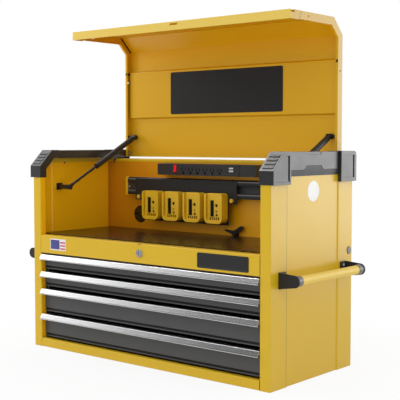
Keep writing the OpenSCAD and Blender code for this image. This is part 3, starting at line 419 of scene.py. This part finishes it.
def painted_crest_highlights(coat):
    """A painted highlight on the upper edge of each ridge, where it catches the light."""
    [z] = coat.spot("Z")
    return (z > 0.5184) + (z > 0.4794) * (z < web_low)


def painted_undercut_shadows(coat):
    """A painted shadow on the lower edge of each ridge, which lies in its own shade."""
    [z] = coat.spot("Z")
    return (z < 0.4722) + (z > web_high) * (z < 0.5112)


print("rail's web from", web_low, "to", web_high)

# %% [markdown]
# ### Powder coats
# The body is bent sheet steel with a yellow powder coat. Powder melts into a skin with a fine orange peel,
# a little cloudiness in the gloss, and a thinner, paler line along each edge. The drawers have the same
# kind of coat in satin charcoal, and the rails and brackets in black. One function makes them all, because
# the process is the same and only the numbers differ. Its layers are pairs of a place and a tone, and most
# of them are painted light and shade.

# %% Powder coats
def powder_coat(name, colour, thin, gloss, level, peel, layers=()):
    coat = Coat(name)
    cloud = coat.noise(7, 3)
    peel_height = coat.noise(520, 1)
    rounded = coat.rounded(0.7 * mm)
    edge = coat.edges(rounded, 2.0)
    cloudy = [c * 0.93 for c in colour[:3]] + [1]
    plain = coat.mixed(cloud, colour, cloudy)
    for where, tone in layers:
        plain = coat.mixed(where(coat), plain, tone)
    base = coat.mixed(edge * 0.35, plain, thin)
    return coat.shade(
        Base_Color=base,
        Roughness=gloss + 0.10 * (cloud - 0.5) + 0.06 * (coat.noise(160, 2) - 0.5),
        Specular_IOR_Level=level,
        Normal=coat.bumped(peel_height, 0.05 * mm, peel, rounded),
    )


finishes = {
    # The yellow paint's layers are painted light and shade: deeper bounce light, darker shade and a paler
    # sheen.
    "yellow_paint": powder_coat("yellow_paint", srgb(220, 180, 28), srgb(236, 206, 96), 0.32, 0.40, 0.25, [
        (painted_till_bounce, srgb(255, 189, 12)), (painted_till_back_shade, srgb(208, 134, 8)), (painted_lid_bounce, srgb(221, 170, 16)),
        (painted_lid_slope_shade, srgb(234, 172, 6)), (painted_flange_shade, srgb(198, 158, 20)), (painted_return_sheen, srgb(230, 198, 92)),
        (painted_seam_shade, srgb(64, 42, 8))]),
    # The channel behind the tool rail: a paler yellow, painted light, with a painted shadow line under the
    # rail.
    "open_yellow": powder_coat("open_yellow", srgb(250, 200, 36), srgb(244, 214, 104), 0.32, 0.40, 0.25, [
        (rail_gap, srgb(22, 14, 6))]),
    # The hand tubes: rougher than the body paint, and paler, which is a painted sheen.
    "grip_yellow": powder_coat("grip_yellow", srgb(238, 204, 88), srgb(242, 214, 116), 0.50, 0.40, 0.3),
    "charcoal_paint": powder_coat("charcoal_paint", srgb(78, 78, 78), srgb(102, 102, 103), 0.45, 0.4, 0.3, [
        (painted_groove_shade, srgb(14, 14, 14))]),
    "black_paint": powder_coat("black_paint", srgb(36, 36, 37), srgb(66, 66, 67), 0.48, 0.4, 0.35),
    # The tool rail: a painted highlight on each crest, a painted shadow under each ridge and a web painted
    # lighter; its paler edge line is partly thin coat and partly painted highlight.
    "rail_black": powder_coat("rail_black", srgb(40, 40, 41), srgb(90, 90, 92), 0.40, 0.4, 0.3, [
        (painted_web_light, srgb(62, 62, 63)), (painted_crest_highlights, srgb(104, 104, 106)),
        (painted_undercut_shadows, srgb(12, 12, 12))]),
}
print("powder coats:", list(finishes))

# %% [markdown]
# ### Moulded plastics
# The corner caps and top rails come out of a mould with a spark-eroded grain: fine, even pits that make the
# black look grey where it faces a lamp. A Voronoi pattern gives pits of an even size, and noise on top keeps
# them from looking printed. The smooth plastics use the same function with a shallower grain.

# %% Moulded plastics
def moulded(name, colour, rub, gloss, level, grain, depth, glow=None):
    coat = Coat(name)
    pits = coat.node("ShaderNodeTexVoronoi", {"feature": "SMOOTH_F1"}, {
        "Vector": coat.place, "Scale": grain, "Smoothness": 0.7}, output="Distance")
    flow = coat.noise(22, 3)
    rounded = coat.rounded(0.8 * mm)
    edge = coat.edges(rounded, 2.2)
    darker = [c * 0.86 for c in colour[:3]] + [1]
    base = coat.mixed(edge * 0.4, coat.mixed(flow, colour, darker), rub)
    # Emission here is a painted glow, used only by the red switch to brighten its red.
    extra = {"Emission_Color": glow, "Emission_Strength": 1.0} if glow else {}
    return coat.shade(
        Base_Color=base,
        Roughness=gloss + 0.12 * (flow - 0.5) - 0.10 * edge,
        Specular_IOR_Level=level,
        Normal=coat.bumped(pits + 0.5 * coat.noise(grain * 1.7, 1), depth, 0.5, rounded),
        **extra,
    )


finishes |= {
    "black_plastic": moulded(
        "black_plastic", srgb(32, 32, 33), srgb(76, 76, 77), 0.42, 0.80, 900, 0.12 * mm),
    "socket_black": moulded(
        "socket_black", srgb(13, 13, 13), srgb(24, 24, 24), 0.5, 0.3, 900, 0.05 * mm),
    "coarse_plastic": moulded(
        "coarse_plastic", srgb(46, 46, 47), srgb(66, 66, 67), 0.52, 0.5, 420, 0.25 * mm),
    "yellow_plastic": moulded(
        "yellow_plastic", srgb(238, 190, 30), srgb(248, 218, 90), 0.36, 0.45, 1100, 0.05 * mm),
    "gray_plastic": moulded(
        "gray_plastic", srgb(112, 110, 107), srgb(150, 148, 145), 0.36, 0.4, 1100, 0.04 * mm),
    # The red switch glows faintly: a painted glow that brightens its red.
    "red_plastic": moulded(
        "red_plastic", srgb(226, 20, 24), srgb(250, 70, 60), 0.22, 0.5, 900, 0.02 * mm, glow=srgb(120, 4, 6)),
    "white_plastic": moulded(
        "white_plastic", srgb(236, 235, 230), srgb(248, 247, 244), 0.35, 0.5, 1100, 0.03 * mm),
}
print("finishes so far:", len(finishes))

# %% [markdown]
# ### Metals
# The pulls are aluminium brushed along their length, so their grain is noise stretched some ninetyfold along
# X, and the reflections smear across it. The slides are zinc-plated steel, which shows large pale crystals.
# The lock is satin chrome, with only a few hairline marks.

# %% Metals
def brushed_aluminium():
    coat = Coat("aluminium")
    brush = coat.noise(60, 4, coat.stretched(0.35, 30, 30), 0.65)
    band = coat.noise(9, 2, coat.stretched(0.6, 6, 6))
    rounded = coat.rounded(0.4 * mm)
    base = coat.mixed(brush, srgb(206, 207, 208), srgb(236, 236, 236))
    return coat.shade(
        Base_Color=base, Metallic=1.0,
        Roughness=0.22 + 0.04 * brush + 0.04 * band,
        Normal=coat.bumped(brush, 0.01 * mm, 0.12, rounded),
    )


def zinc_plate():
    coat = Coat("zinc_steel")
    crystal = coat.node("ShaderNodeTexVoronoi", sockets={
        "Vector": coat.place, "Scale": 130.0}, output="Color")
    tone = coat.node("ShaderNodeRGBToBW", sockets={"Color": crystal})
    scratch = coat.noise(240, 3, coat.stretched(1, 0.08, 1))
    base = coat.mixed(tone, srgb(150, 152, 156), srgb(198, 200, 204))
    return coat.shade(
        Base_Color=base, Metallic=1.0,
        Roughness=0.30 + 0.14 * tone + 0.10 * (scratch - 0.5),
        Normal=coat.bumped(scratch, 0.02 * mm, 0.3, coat.rounded(0.3 * mm)),
    )


def chrome():
    coat = Coat("chrome")
    hair = coat.noise(420, 2, coat.stretched(1, 1, 0.2))
    base = coat.mixed(hair, srgb(158, 160, 163), srgb(184, 186, 189))
    return coat.shade(
        Base_Color=base, Metallic=1.0, Roughness=0.16 + 0.10 * hair,
        Normal=coat.bumped(hair, 0.01 * mm, 0.2, coat.rounded(0.3 * mm)),
    )


metals = {"aluminium": brushed_aluminium(), "zinc_steel": zinc_plate(), "chrome": chrome()}
finishes |= metals
print("metals:", list(metals))

# %% [markdown]
# ### The mat
# The till's floor carries a dark rubber-backed mat with a smooth, slightly greasy top. Seen along its
# surface it mirrors the yellow wall behind it, so it needs a low roughness and only a faint pebbled grain.

# %% The mat
def rubber_mat():
    coat = Coat("mat_rubber")
    pebble = coat.node("ShaderNodeTexVoronoi", {"feature": "SMOOTH_F1"}, {
        "Vector": coat.place, "Scale": 420.0, "Smoothness": 0.5}, output="Distance")
    smear = coat.noise(5, 4)
    base = coat.mixed(smear, srgb(28, 17, 10), srgb(40, 25, 14))
    return coat.shade(
        Base_Color=base, Roughness=0.20 + 0.12 * smear, Specular_IOR_Level=0.5,
        Normal=coat.bumped(pebble, 0.06 * mm, 0.25, coat.rounded(0.5 * mm)),
    )


finishes["mat_rubber"] = rubber_mat()
print("finishes:", len(finishes))

# %% [markdown]
# ## Coat the solids
# Each solid arrives with a plain material that carries the name of its finish. Swapping that material for
# the one made above is enough for every sheet-metal part, because the folds are already rounded in CAD. The
# channel behind the tool rail gets a paler yellow, painted light where it stands free in the light, without
# the till's painted deeper tone. The tool rail gets painted highlights on its ridges and painted shadows
# under them, and the hand tubes are duller, as a grip is, and paler, which is a painted sheen.

# %% Coat the solids
coat_of = {}
special_coats = {"rail_backing": "open_yellow", "tool_rail": "rail_black",
                 "handle_tube_left": "grip_yellow", "handle_tube_right": "grip_yellow"}
for name, node in chest.items():
    holder = node.material_slots[0]
    coat_of[name] = holder.material.name
    holder.material = finishes[special_coats.get(name, coat_of[name])]
print("coated", len(coat_of), "solids with", len(set(coat_of.values())), "finishes")

# %% [markdown]
# ## Softened edges
# Moulded and cast parts never have knife edges. A copy of such a solid is merged, its flat triangles are
# joined to whole faces, and a Bevel modifier rounds what is left. Weighted normals keep the large faces flat
# in the shading. The copy then stands for the solid and rides on the same body.

# %% A softened copy
def deselect_all():
    if bpy.context.mode != "OBJECT":
        bpy.ops.object.mode_set(mode="OBJECT")
    bpy.ops.object.select_all(action="DESELECT")


def select_only(piece):
    deselect_all()
    piece.select_set(True)
    bpy.context.view_layer.objects.active = piece


def softened(name, width, reshape=None):
    solid = chest[name]
    select_only(solid)
    bpy.ops.object.duplicate()
    piece = bpy.context.active_object
    piece.name = name + "_soft"
    del piece["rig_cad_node"]
    bpy.ops.object.mode_set(mode="EDIT")
    bpy.ops.mesh.select_all(action="SELECT")
    bpy.ops.mesh.customdata_custom_splitnormals_clear()
    bpy.ops.mesh.remove_doubles(threshold=0.001 * mm)
    bpy.ops.mesh.dissolve_limited(angle_limit=radians(0.4))
    if reshape:
        reshape()
    bpy.ops.object.mode_set(mode="OBJECT")
    bpy.ops.object.modifier_add(type="BEVEL")
    bevel = piece.modifiers[-1]
    bevel.width, bevel.segments = width, 2
    bevel.limit_method, bevel.angle_limit = "ANGLE", radians(32)
    bpy.ops.object.modifier_apply(modifier=bevel.name)
    bpy.ops.object.shade_smooth_by_angle(angle=radians(40))
    bpy.ops.object.modifier_add(type="WEIGHTED_NORMAL")
    piece.modifiers[-1].keep_sharp = True
    bpy.ops.object.modifier_apply(modifier=piece.modifiers[-1].name)
    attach(piece, solid["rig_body"])
    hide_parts(name)
    return piece


print("a softened copy has two segments on each edge")

# %% [markdown]
# ### Widened openings
# The mouth of a moulded opening is wider than the opening itself, so that a plug or a contact finds its way
# in. The corners of each opening are picked by their place and scaled about its middle, before the edges are
# rounded. Scaling the corners keeps the faces round them whole.

# %% Widened openings
outlet_first, outlet_pitch, outlet_height = -93, 29, 551  # millimetres
outlet_count = 6
outlet_depth = (0.099, 0.109)
holder_pitch, holder_count = 87 * mm, 4
holder_depth = (0.0875, 0.097)


def pick_corners(wanted):
    bpy.ops.mesh.select_mode(type="VERT")
    bpy.ops.mesh.select_all(action="DESELECT")
    shape = bmesh.from_edit_mesh(bpy.context.edit_object.data)
    for corner in shape.verts:
        corner.select_set(wanted(corner.co))
    shape.select_flush_mode()
    bmesh.update_edit_mesh(bpy.context.edit_object.data)


def flare(starts, holes, depth):
    """Opens slots and round holes by their lead-in. A hole has a middle, a reach and a growth."""
    for x, z in starts:
        for place, reach, growth in holes:
            middle = Vector((x + place[0] * mm, sum(depth) / 2, z + place[1] * mm))
            pick_corners(lambda spot: abs(spot.x - middle.x) < reach[0] * mm
                         and abs(spot.z - middle.z) < reach[1] * mm
                         and depth[0] < spot.y < depth[1])
            bpy.ops.transform.resize(value=(growth[0], 1, growth[1]), center_override=middle)


def flare_outlets():
    blades = [((x, 4), (1.6, 4.6), (1.6, 1.2)) for x in (-6.35, 6.35)]
    earth = ((0, -6), (3.2, 3.2), (1.5, 1.5))
    starts = [((outlet_first + outlet_pitch * n) * mm, outlet_height * mm) for n in range(outlet_count)]
    flare(starts, blades + [earth], outlet_depth)


def flare_holders():
    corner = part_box("battery_holders")[0]
    slot = ((26, 46), (5.4, 25.4), (1.45, 1.0))
    vents = [((19 + 8 * n, 15), (2.4, 3.4), (1.2, 1.4)) for n in range(5)]
    starts = [(corner.x + holder_pitch * n, corner.z) for n in range(holder_count)]
    flare(starts, [slot] + vents, holder_depth)


print("openings of", outlet_count, "outlets and", holder_count, "holders")

# %% Soften the moulded parts
soft_widths = {
    "front_cap_left": 1.4, "front_cap_right": 1.4, "rear_cap_left": 1.4, "rear_cap_right": 1.4,
    "top_rails": 0.7, "battery_holders": 1.3, "power_strip": 0.5, "strip_ends": 1.5, "power_switch": 0.6,
    "usb_ports": 0.4, "handle_brackets": 0.8, "handle_ferrules": 0.5, "cable_grommet": 0.8, "cord_cleat": 1.0,
    "hole_plug": 0.6, "lock_barrel": 0.4, "lock_cylinder": 0.4, "strut_brackets": 0.8, "plate_screws": 0.5,
}
reshapes = {"power_strip": flare_outlets, "battery_holders": flare_holders}
soft = {}
for name, width in soft_widths.items():
    soft[name] = softened(name, width * mm, reshapes.get(name))
    print(name, "faces", len(soft[name].data.polygons))

# %% [markdown]
# ## Plates
# A bare dark plate sits on the lid's raised panel, and a smaller one on the lock rail. Each starts as a cube
# scaled to a thin plate. Its corners are rounded by a bevel of the four short edges, its face is inset to
# leave a rim, and the field inside the rim is set back by about half a millimetre.

# %% Pick faces and edges
def pick_faces(wanted):
    bpy.ops.mesh.select_mode(type="FACE")
    bpy.ops.mesh.select_all(action="DESELECT")
    shape = bmesh.from_edit_mesh(bpy.context.edit_object.data)
    for face in shape.faces:
        face.select_set(wanted(face.calc_center_median(), face.normal))
    bmesh.update_edit_mesh(bpy.context.edit_object.data)


def pick_edges(wanted):
    bpy.ops.mesh.select_mode(type="EDGE")
    bpy.ops.mesh.select_all(action="DESELECT")
    shape = bmesh.from_edit_mesh(bpy.context.edit_object.data)
    for edge in shape.edges:
        a, b = (corner.co for corner in edge.verts)
        edge.select_set(wanted((a + b) / 2, (b - a).normalized()))
    bmesh.update_edit_mesh(bpy.context.edit_object.data)


print("faces and edges are picked by place and direction")

# %% Start, copy and finish a piece
def start_block(name, low, high):
    deselect_all()
    low, high = Vector(low), Vector(high)
    bpy.ops.mesh.primitive_cube_add(size=1, location=(low + high) / 2, scale=high - low)
    piece = bpy.context.active_object
    piece.name = name
    bpy.ops.object.transform_apply(location=True, rotation=True, scale=True)
    bpy.ops.object.mode_set(mode="EDIT")
    return piece


def start_round(name, place, facing, radius, depth):
    deselect_all()
    turn = Vector((0, 0, 1)).rotation_difference(Vector(facing)).to_euler()
    bpy.ops.mesh.primitive_cylinder_add(
        vertices=32, radius=radius, depth=depth, location=place, rotation=turn)
    piece = bpy.context.active_object
    piece.name = name
    bpy.ops.object.transform_apply(location=True, rotation=True, scale=True)
    bpy.ops.object.mode_set(mode="EDIT")
    return piece


def copied(piece, name, shift):
    select_only(piece)
    bpy.ops.object.duplicate()
    twin = bpy.context.active_object
    twin.name = name
    bpy.ops.transform.translate(value=shift)
    bpy.ops.object.transform_apply(location=True, rotation=False, scale=False)
    return twin


def finish_piece(piece, body, slot, finish=None):
    select_only(piece)
    bpy.ops.object.shade_smooth_by_angle(angle=radians(35))
    piece.data.materials.clear()
    piece.data.materials.append(finishes[finish or slot])
    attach(piece, body)
    return piece


print("a piece rides on its body once it is finished")

# %% Bare plates
def bare_plate(name, x, z, y, thick, corner, rim, set_back, body):
    piece = start_block(name, (x[0], y - thick, z[0]), (x[1], y, z[1]))
    pick_edges(lambda middle, along: abs(along.y) > 0.9)
    bpy.ops.mesh.bevel(offset=corner, segments=4, affect="EDGES")
    pick_faces(lambda middle, normal: normal.y < -0.9)
    bpy.ops.mesh.inset(thickness=0.4 * mm, depth=0.3 * mm)
    bpy.ops.mesh.inset(thickness=rim, depth=0)
    bpy.ops.mesh.inset(thickness=0.5 * mm, depth=-set_back)
    return finish_piece(piece, body, "black_paint")


lid_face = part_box("lid_stiffener")[0].y
rail_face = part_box("front_rail")[0].y
bare_plate("lid_plate", (-0.223, 0.223), (0.732, 0.868), lid_face, 1.0 * mm, 6 * mm, 4 * mm, 0.4 * mm, "lid")
bare_plate("rail_plate", (0.215, 0.388), (0.303, 0.344), rail_face, 1.4 * mm, 4 * mm, 2.4 * mm, 0.5 * mm,
           "cabinet")
print("plates on faces y =", round(lid_face, 4), round(rail_face, 4))

# %% [markdown]
# ### Labels
# A small printed label sits at the left of the lock rail, with a plain block and bars of colour, and a blank
# round one on the right side. A label is foil with a soft sheen, a quarter of a millimetre thick. The print
# is a pattern on Object coordinates, so no picture file is needed.

# %% Printed foil
print_low, print_high, bar_pitch = 0.3110, 0.3398, 0.0096


def printed_foil():
    coat = Coat("printed_foil")
    x, z = coat.spot("XZ")
    fibre = coat.noise(900, 2)
    foil = coat.mixed(fibre, srgb(240, 240, 243), srgb(222, 223, 230))
    printed = (z > print_low) * (z < print_high)
    block = (x > -0.3780) * (x < -0.3375) * printed
    bars = (x > -0.3350) * (x < -0.3120) * printed * ((z - print_low) % bar_pitch < bar_pitch / 2)
    base = coat.mixed(bars, coat.mixed(block, foil, srgb(66, 72, 138)), srgb(208, 74, 84))
    return coat.shade(
        Base_Color=base, Roughness=0.30 + 0.12 * fibre,
        Normal=coat.bumped(fibre, 0.01 * mm, 0.2, coat.rounded(0.2 * mm)),
    )


finishes["printed_foil"] = printed_foil()
print("print is", round((print_high - print_low) / mm, 1), "mm high")

# %% Labels
label_low = (-0.380, rail_face - 0.25 * mm, 0.308)
label_high = (-0.310, rail_face + 0.2 * mm, 0.343)
label = start_block("rail_label", label_low, label_high)
pick_edges(lambda middle, along: abs(along.y) > 0.9)
bpy.ops.mesh.bevel(offset=2 * mm, segments=4, affect="EDGES")
pick_faces(lambda middle, normal: normal.y < -0.9)
bpy.ops.mesh.inset(thickness=0.3 * mm, depth=0.05 * mm)
finish_piece(label, "cabinet", "white_plastic", "printed_foil")

label = start_round("side_label", (0.4540, 0.0015, 0.509), (1, 0, 0), 28 * mm, 0.5 * mm)
pick_faces(lambda middle, normal: normal.x > 0.9)
bpy.ops.mesh.inset(thickness=0.3 * mm, depth=0.05 * mm)
bpy.ops.mesh.inset(thickness=2.2 * mm, depth=-0.04 * mm)
finish_piece(label, "cabinet", "white_plastic")
print("two labels")

# %% [markdown]
# ## Contacts of the battery holders
# Each holder has a deep slot for the contacts, two small holes, a catch and a row of vents, all lined with
# black plastic. The lining is one mesh: blocks and rounds are added in edit mode, and every front face is
# inset on its own and pushed in, which leaves a thin black rim round a dark pocket.

# %% Holder linings
def add_block(low, high):
    low, high = Vector(low), Vector(high)
    bpy.ops.mesh.primitive_cube_add(size=1, location=(low + high) / 2, scale=high - low)


holder_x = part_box("battery_holders")[0].x
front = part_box("battery_holders")[0].y + 6.8 * mm
back = front + 3.7 * mm
slot_low = (holder_x + 18 * mm, front, 0.413)
slot_high = (holder_x + 34 * mm, back, 0.466)
lining = start_block("holder_lining_1", slot_low, slot_high)
add_block((holder_x + 39 * mm, front, 0.414), (holder_x + 50 * mm, back, 0.423))
for vent in range(5):
    x = holder_x + (16 + 8 * vent) * mm
    add_block((x, front, 0.4032), (x + 6 * mm, back, 0.4128))
for z, radius in ((0.448, 6.5 * mm), (0.431, 3.6 * mm)):
    bpy.ops.mesh.primitive_cylinder_add(
        vertices=24, radius=radius, depth=back - front, rotation=(radians(90), 0, 0),
        location=(holder_x + 43 * mm, (front + back) / 2, z))
pick_faces(lambda middle, normal: normal.y < -0.9)
bpy.ops.mesh.inset(thickness=0.6 * mm, depth=-2.8 * mm, use_individual=True)
others = range(1, holder_count)
linings = [lining] + [copied(lining, f"holder_lining_{i + 1}", (holder_pitch * i, 0, 0)) for i in others]
for lining in linings:
    finish_piece(lining, "cabinet", "black_plastic", "socket_black")
print("holder linings:", len(linings))

# %% [markdown]
# ## The rails' lower band
# The lower band of each top rail has a coarser grain than the rest and stays dark where the smooth part
# shines. On the mould the two are etched apart, so here the band's faces take a second material.

# %% Grain of the lower band
rails = soft["top_rails"]
select_only(rails)
rails.data.materials.append(finishes["coarse_plastic"])
rails.active_material_index = 1
rim_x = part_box("top_rails")[1].x
bpy.ops.object.mode_set(mode="EDIT")
pick_faces(lambda middle, normal: normal.x * middle.x > 0 and abs(normal.x) > 0.9 and middle.z < 0.6
           and 0.7 * mm < rim_x - abs(middle.x) < 4.5 * mm)
bpy.ops.object.material_slot_assign()
bpy.ops.object.mode_set(mode="OBJECT")
print("band faces:", sum(face.material_index == 1 for face in rails.data.polygons))

# %% [markdown]
# ## Screws
# Two button heads hold each foot of the handle brackets, one holds the bare end of the tool rail, and a small
# dark one sits in each side wall below the top rail. A head starts as a short cylinder. Its face is inset and
# raised to a low dome, then inset again and pushed in for the driver's socket.

# %% Screws
def button_head(name, place, facing, radius):
    piece = start_round(name, place, facing, radius, radius)
    out = Vector(facing)
    pick_faces(lambda middle, normal: normal.dot(out) > 0.9)
    bpy.ops.mesh.inset(thickness=0.3 * radius, depth=0.22 * radius)
    bpy.ops.mesh.inset(thickness=0.2 * radius, depth=0.05 * radius)
    bpy.ops.mesh.inset(thickness=0.05 * radius, depth=-0.5 * radius)
    return piece


foot_x, foot_y, foot_z = 0.461, -0.1475, 0.2735
foot_rise, foot_span = 22 * mm, 295 * mm
heads = []
for side in (1, -1):
    place = (side * foot_x, foot_y, foot_z)
    first = button_head(f"foot_screw_{len(heads) + 1}", place, (side, 0, 0), 4.2 * mm)
    heads.append(first)
    for shift in ((0, 0, foot_rise), (0, foot_span, 0), (0, foot_span, foot_rise)):
        heads.append(copied(first, f"foot_screw_{len(heads) + 1}", shift))
heads.append(button_head("rail_screw", (-0.355, 0.128, 0.494), (0, -1, 0), 3.4 * mm))
for head in heads:
    finish_piece(head, "cabinet", "zinc_steel")
for number, side in enumerate((-1, 1), 1):
    small = button_head(f"wall_screw_{number}", (side * 0.4522, -0.073, 0.5746), (-side, 0, 0), 2.6 * mm)
    heads.append(finish_piece(small, "cabinet", "black_plastic", "socket_black"))
print("screws:", len(heads))

# %% [markdown]
# ## Drawer liners
# Each drawer has a loose liner of black ribbed foam. It lies flat, so it is a thin plate with rounded corners
# and a set-back field, and its ribs are a bump pattern. The four drawers have the same plan, so one liner is
# modelled and copied down to the other floors.

# %% Ribbed foam
rib_pitch = 0.006


def ribbed_foam():
    coat = Coat("ribbed_foam")
    [x] = coat.spot("X")
    rib = abs(x % rib_pitch - rib_pitch / 2) * 333
    grain = coat.noise(700, 2)
    base = coat.mixed(grain, srgb(24, 24, 25), srgb(40, 40, 41))
    return coat.shade(
        Base_Color=base, Roughness=0.72 + 0.12 * grain, Specular_IOR_Level=0.3,
        Normal=coat.bumped(rib + 0.2 * grain, 0.8 * mm, 0.6, coat.rounded(0.3 * mm)),
    )


finishes["ribbed_foam"] = ribbed_foam()
print("a rib every", rib_pitch / mm, "mm")

# %% Drawer liners
floors = {number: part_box(f"drawer_{number}")[0].z + 1.2 * mm for number in (1, 2, 3, 4)}
liner = start_block("drawer_liner_1", (-0.405, -0.162, floors[1]), (0.405, 0.159, floors[1] + 2 * mm))
pick_edges(lambda middle, along: abs(along.z) > 0.9)
bpy.ops.mesh.bevel(offset=5 * mm, segments=3, affect="EDGES")
pick_faces(lambda middle, normal: normal.z > 0.9)
bpy.ops.mesh.inset(thickness=0.8 * mm, depth=0)
bpy.ops.mesh.inset(thickness=0.8 * mm, depth=-0.5 * mm)
liners = [liner] + [copied(liner, f"drawer_liner_{n}", (0, 0, floors[n] - floors[1])) for n in (2, 3, 4)]
for number, liner in enumerate(liners, 1):
    finish_piece(liner, f"drawer_{number}", "mat_rubber", "ribbed_foam")
print("liners on floors z =", [round(z, 4) for z in floors.values()])
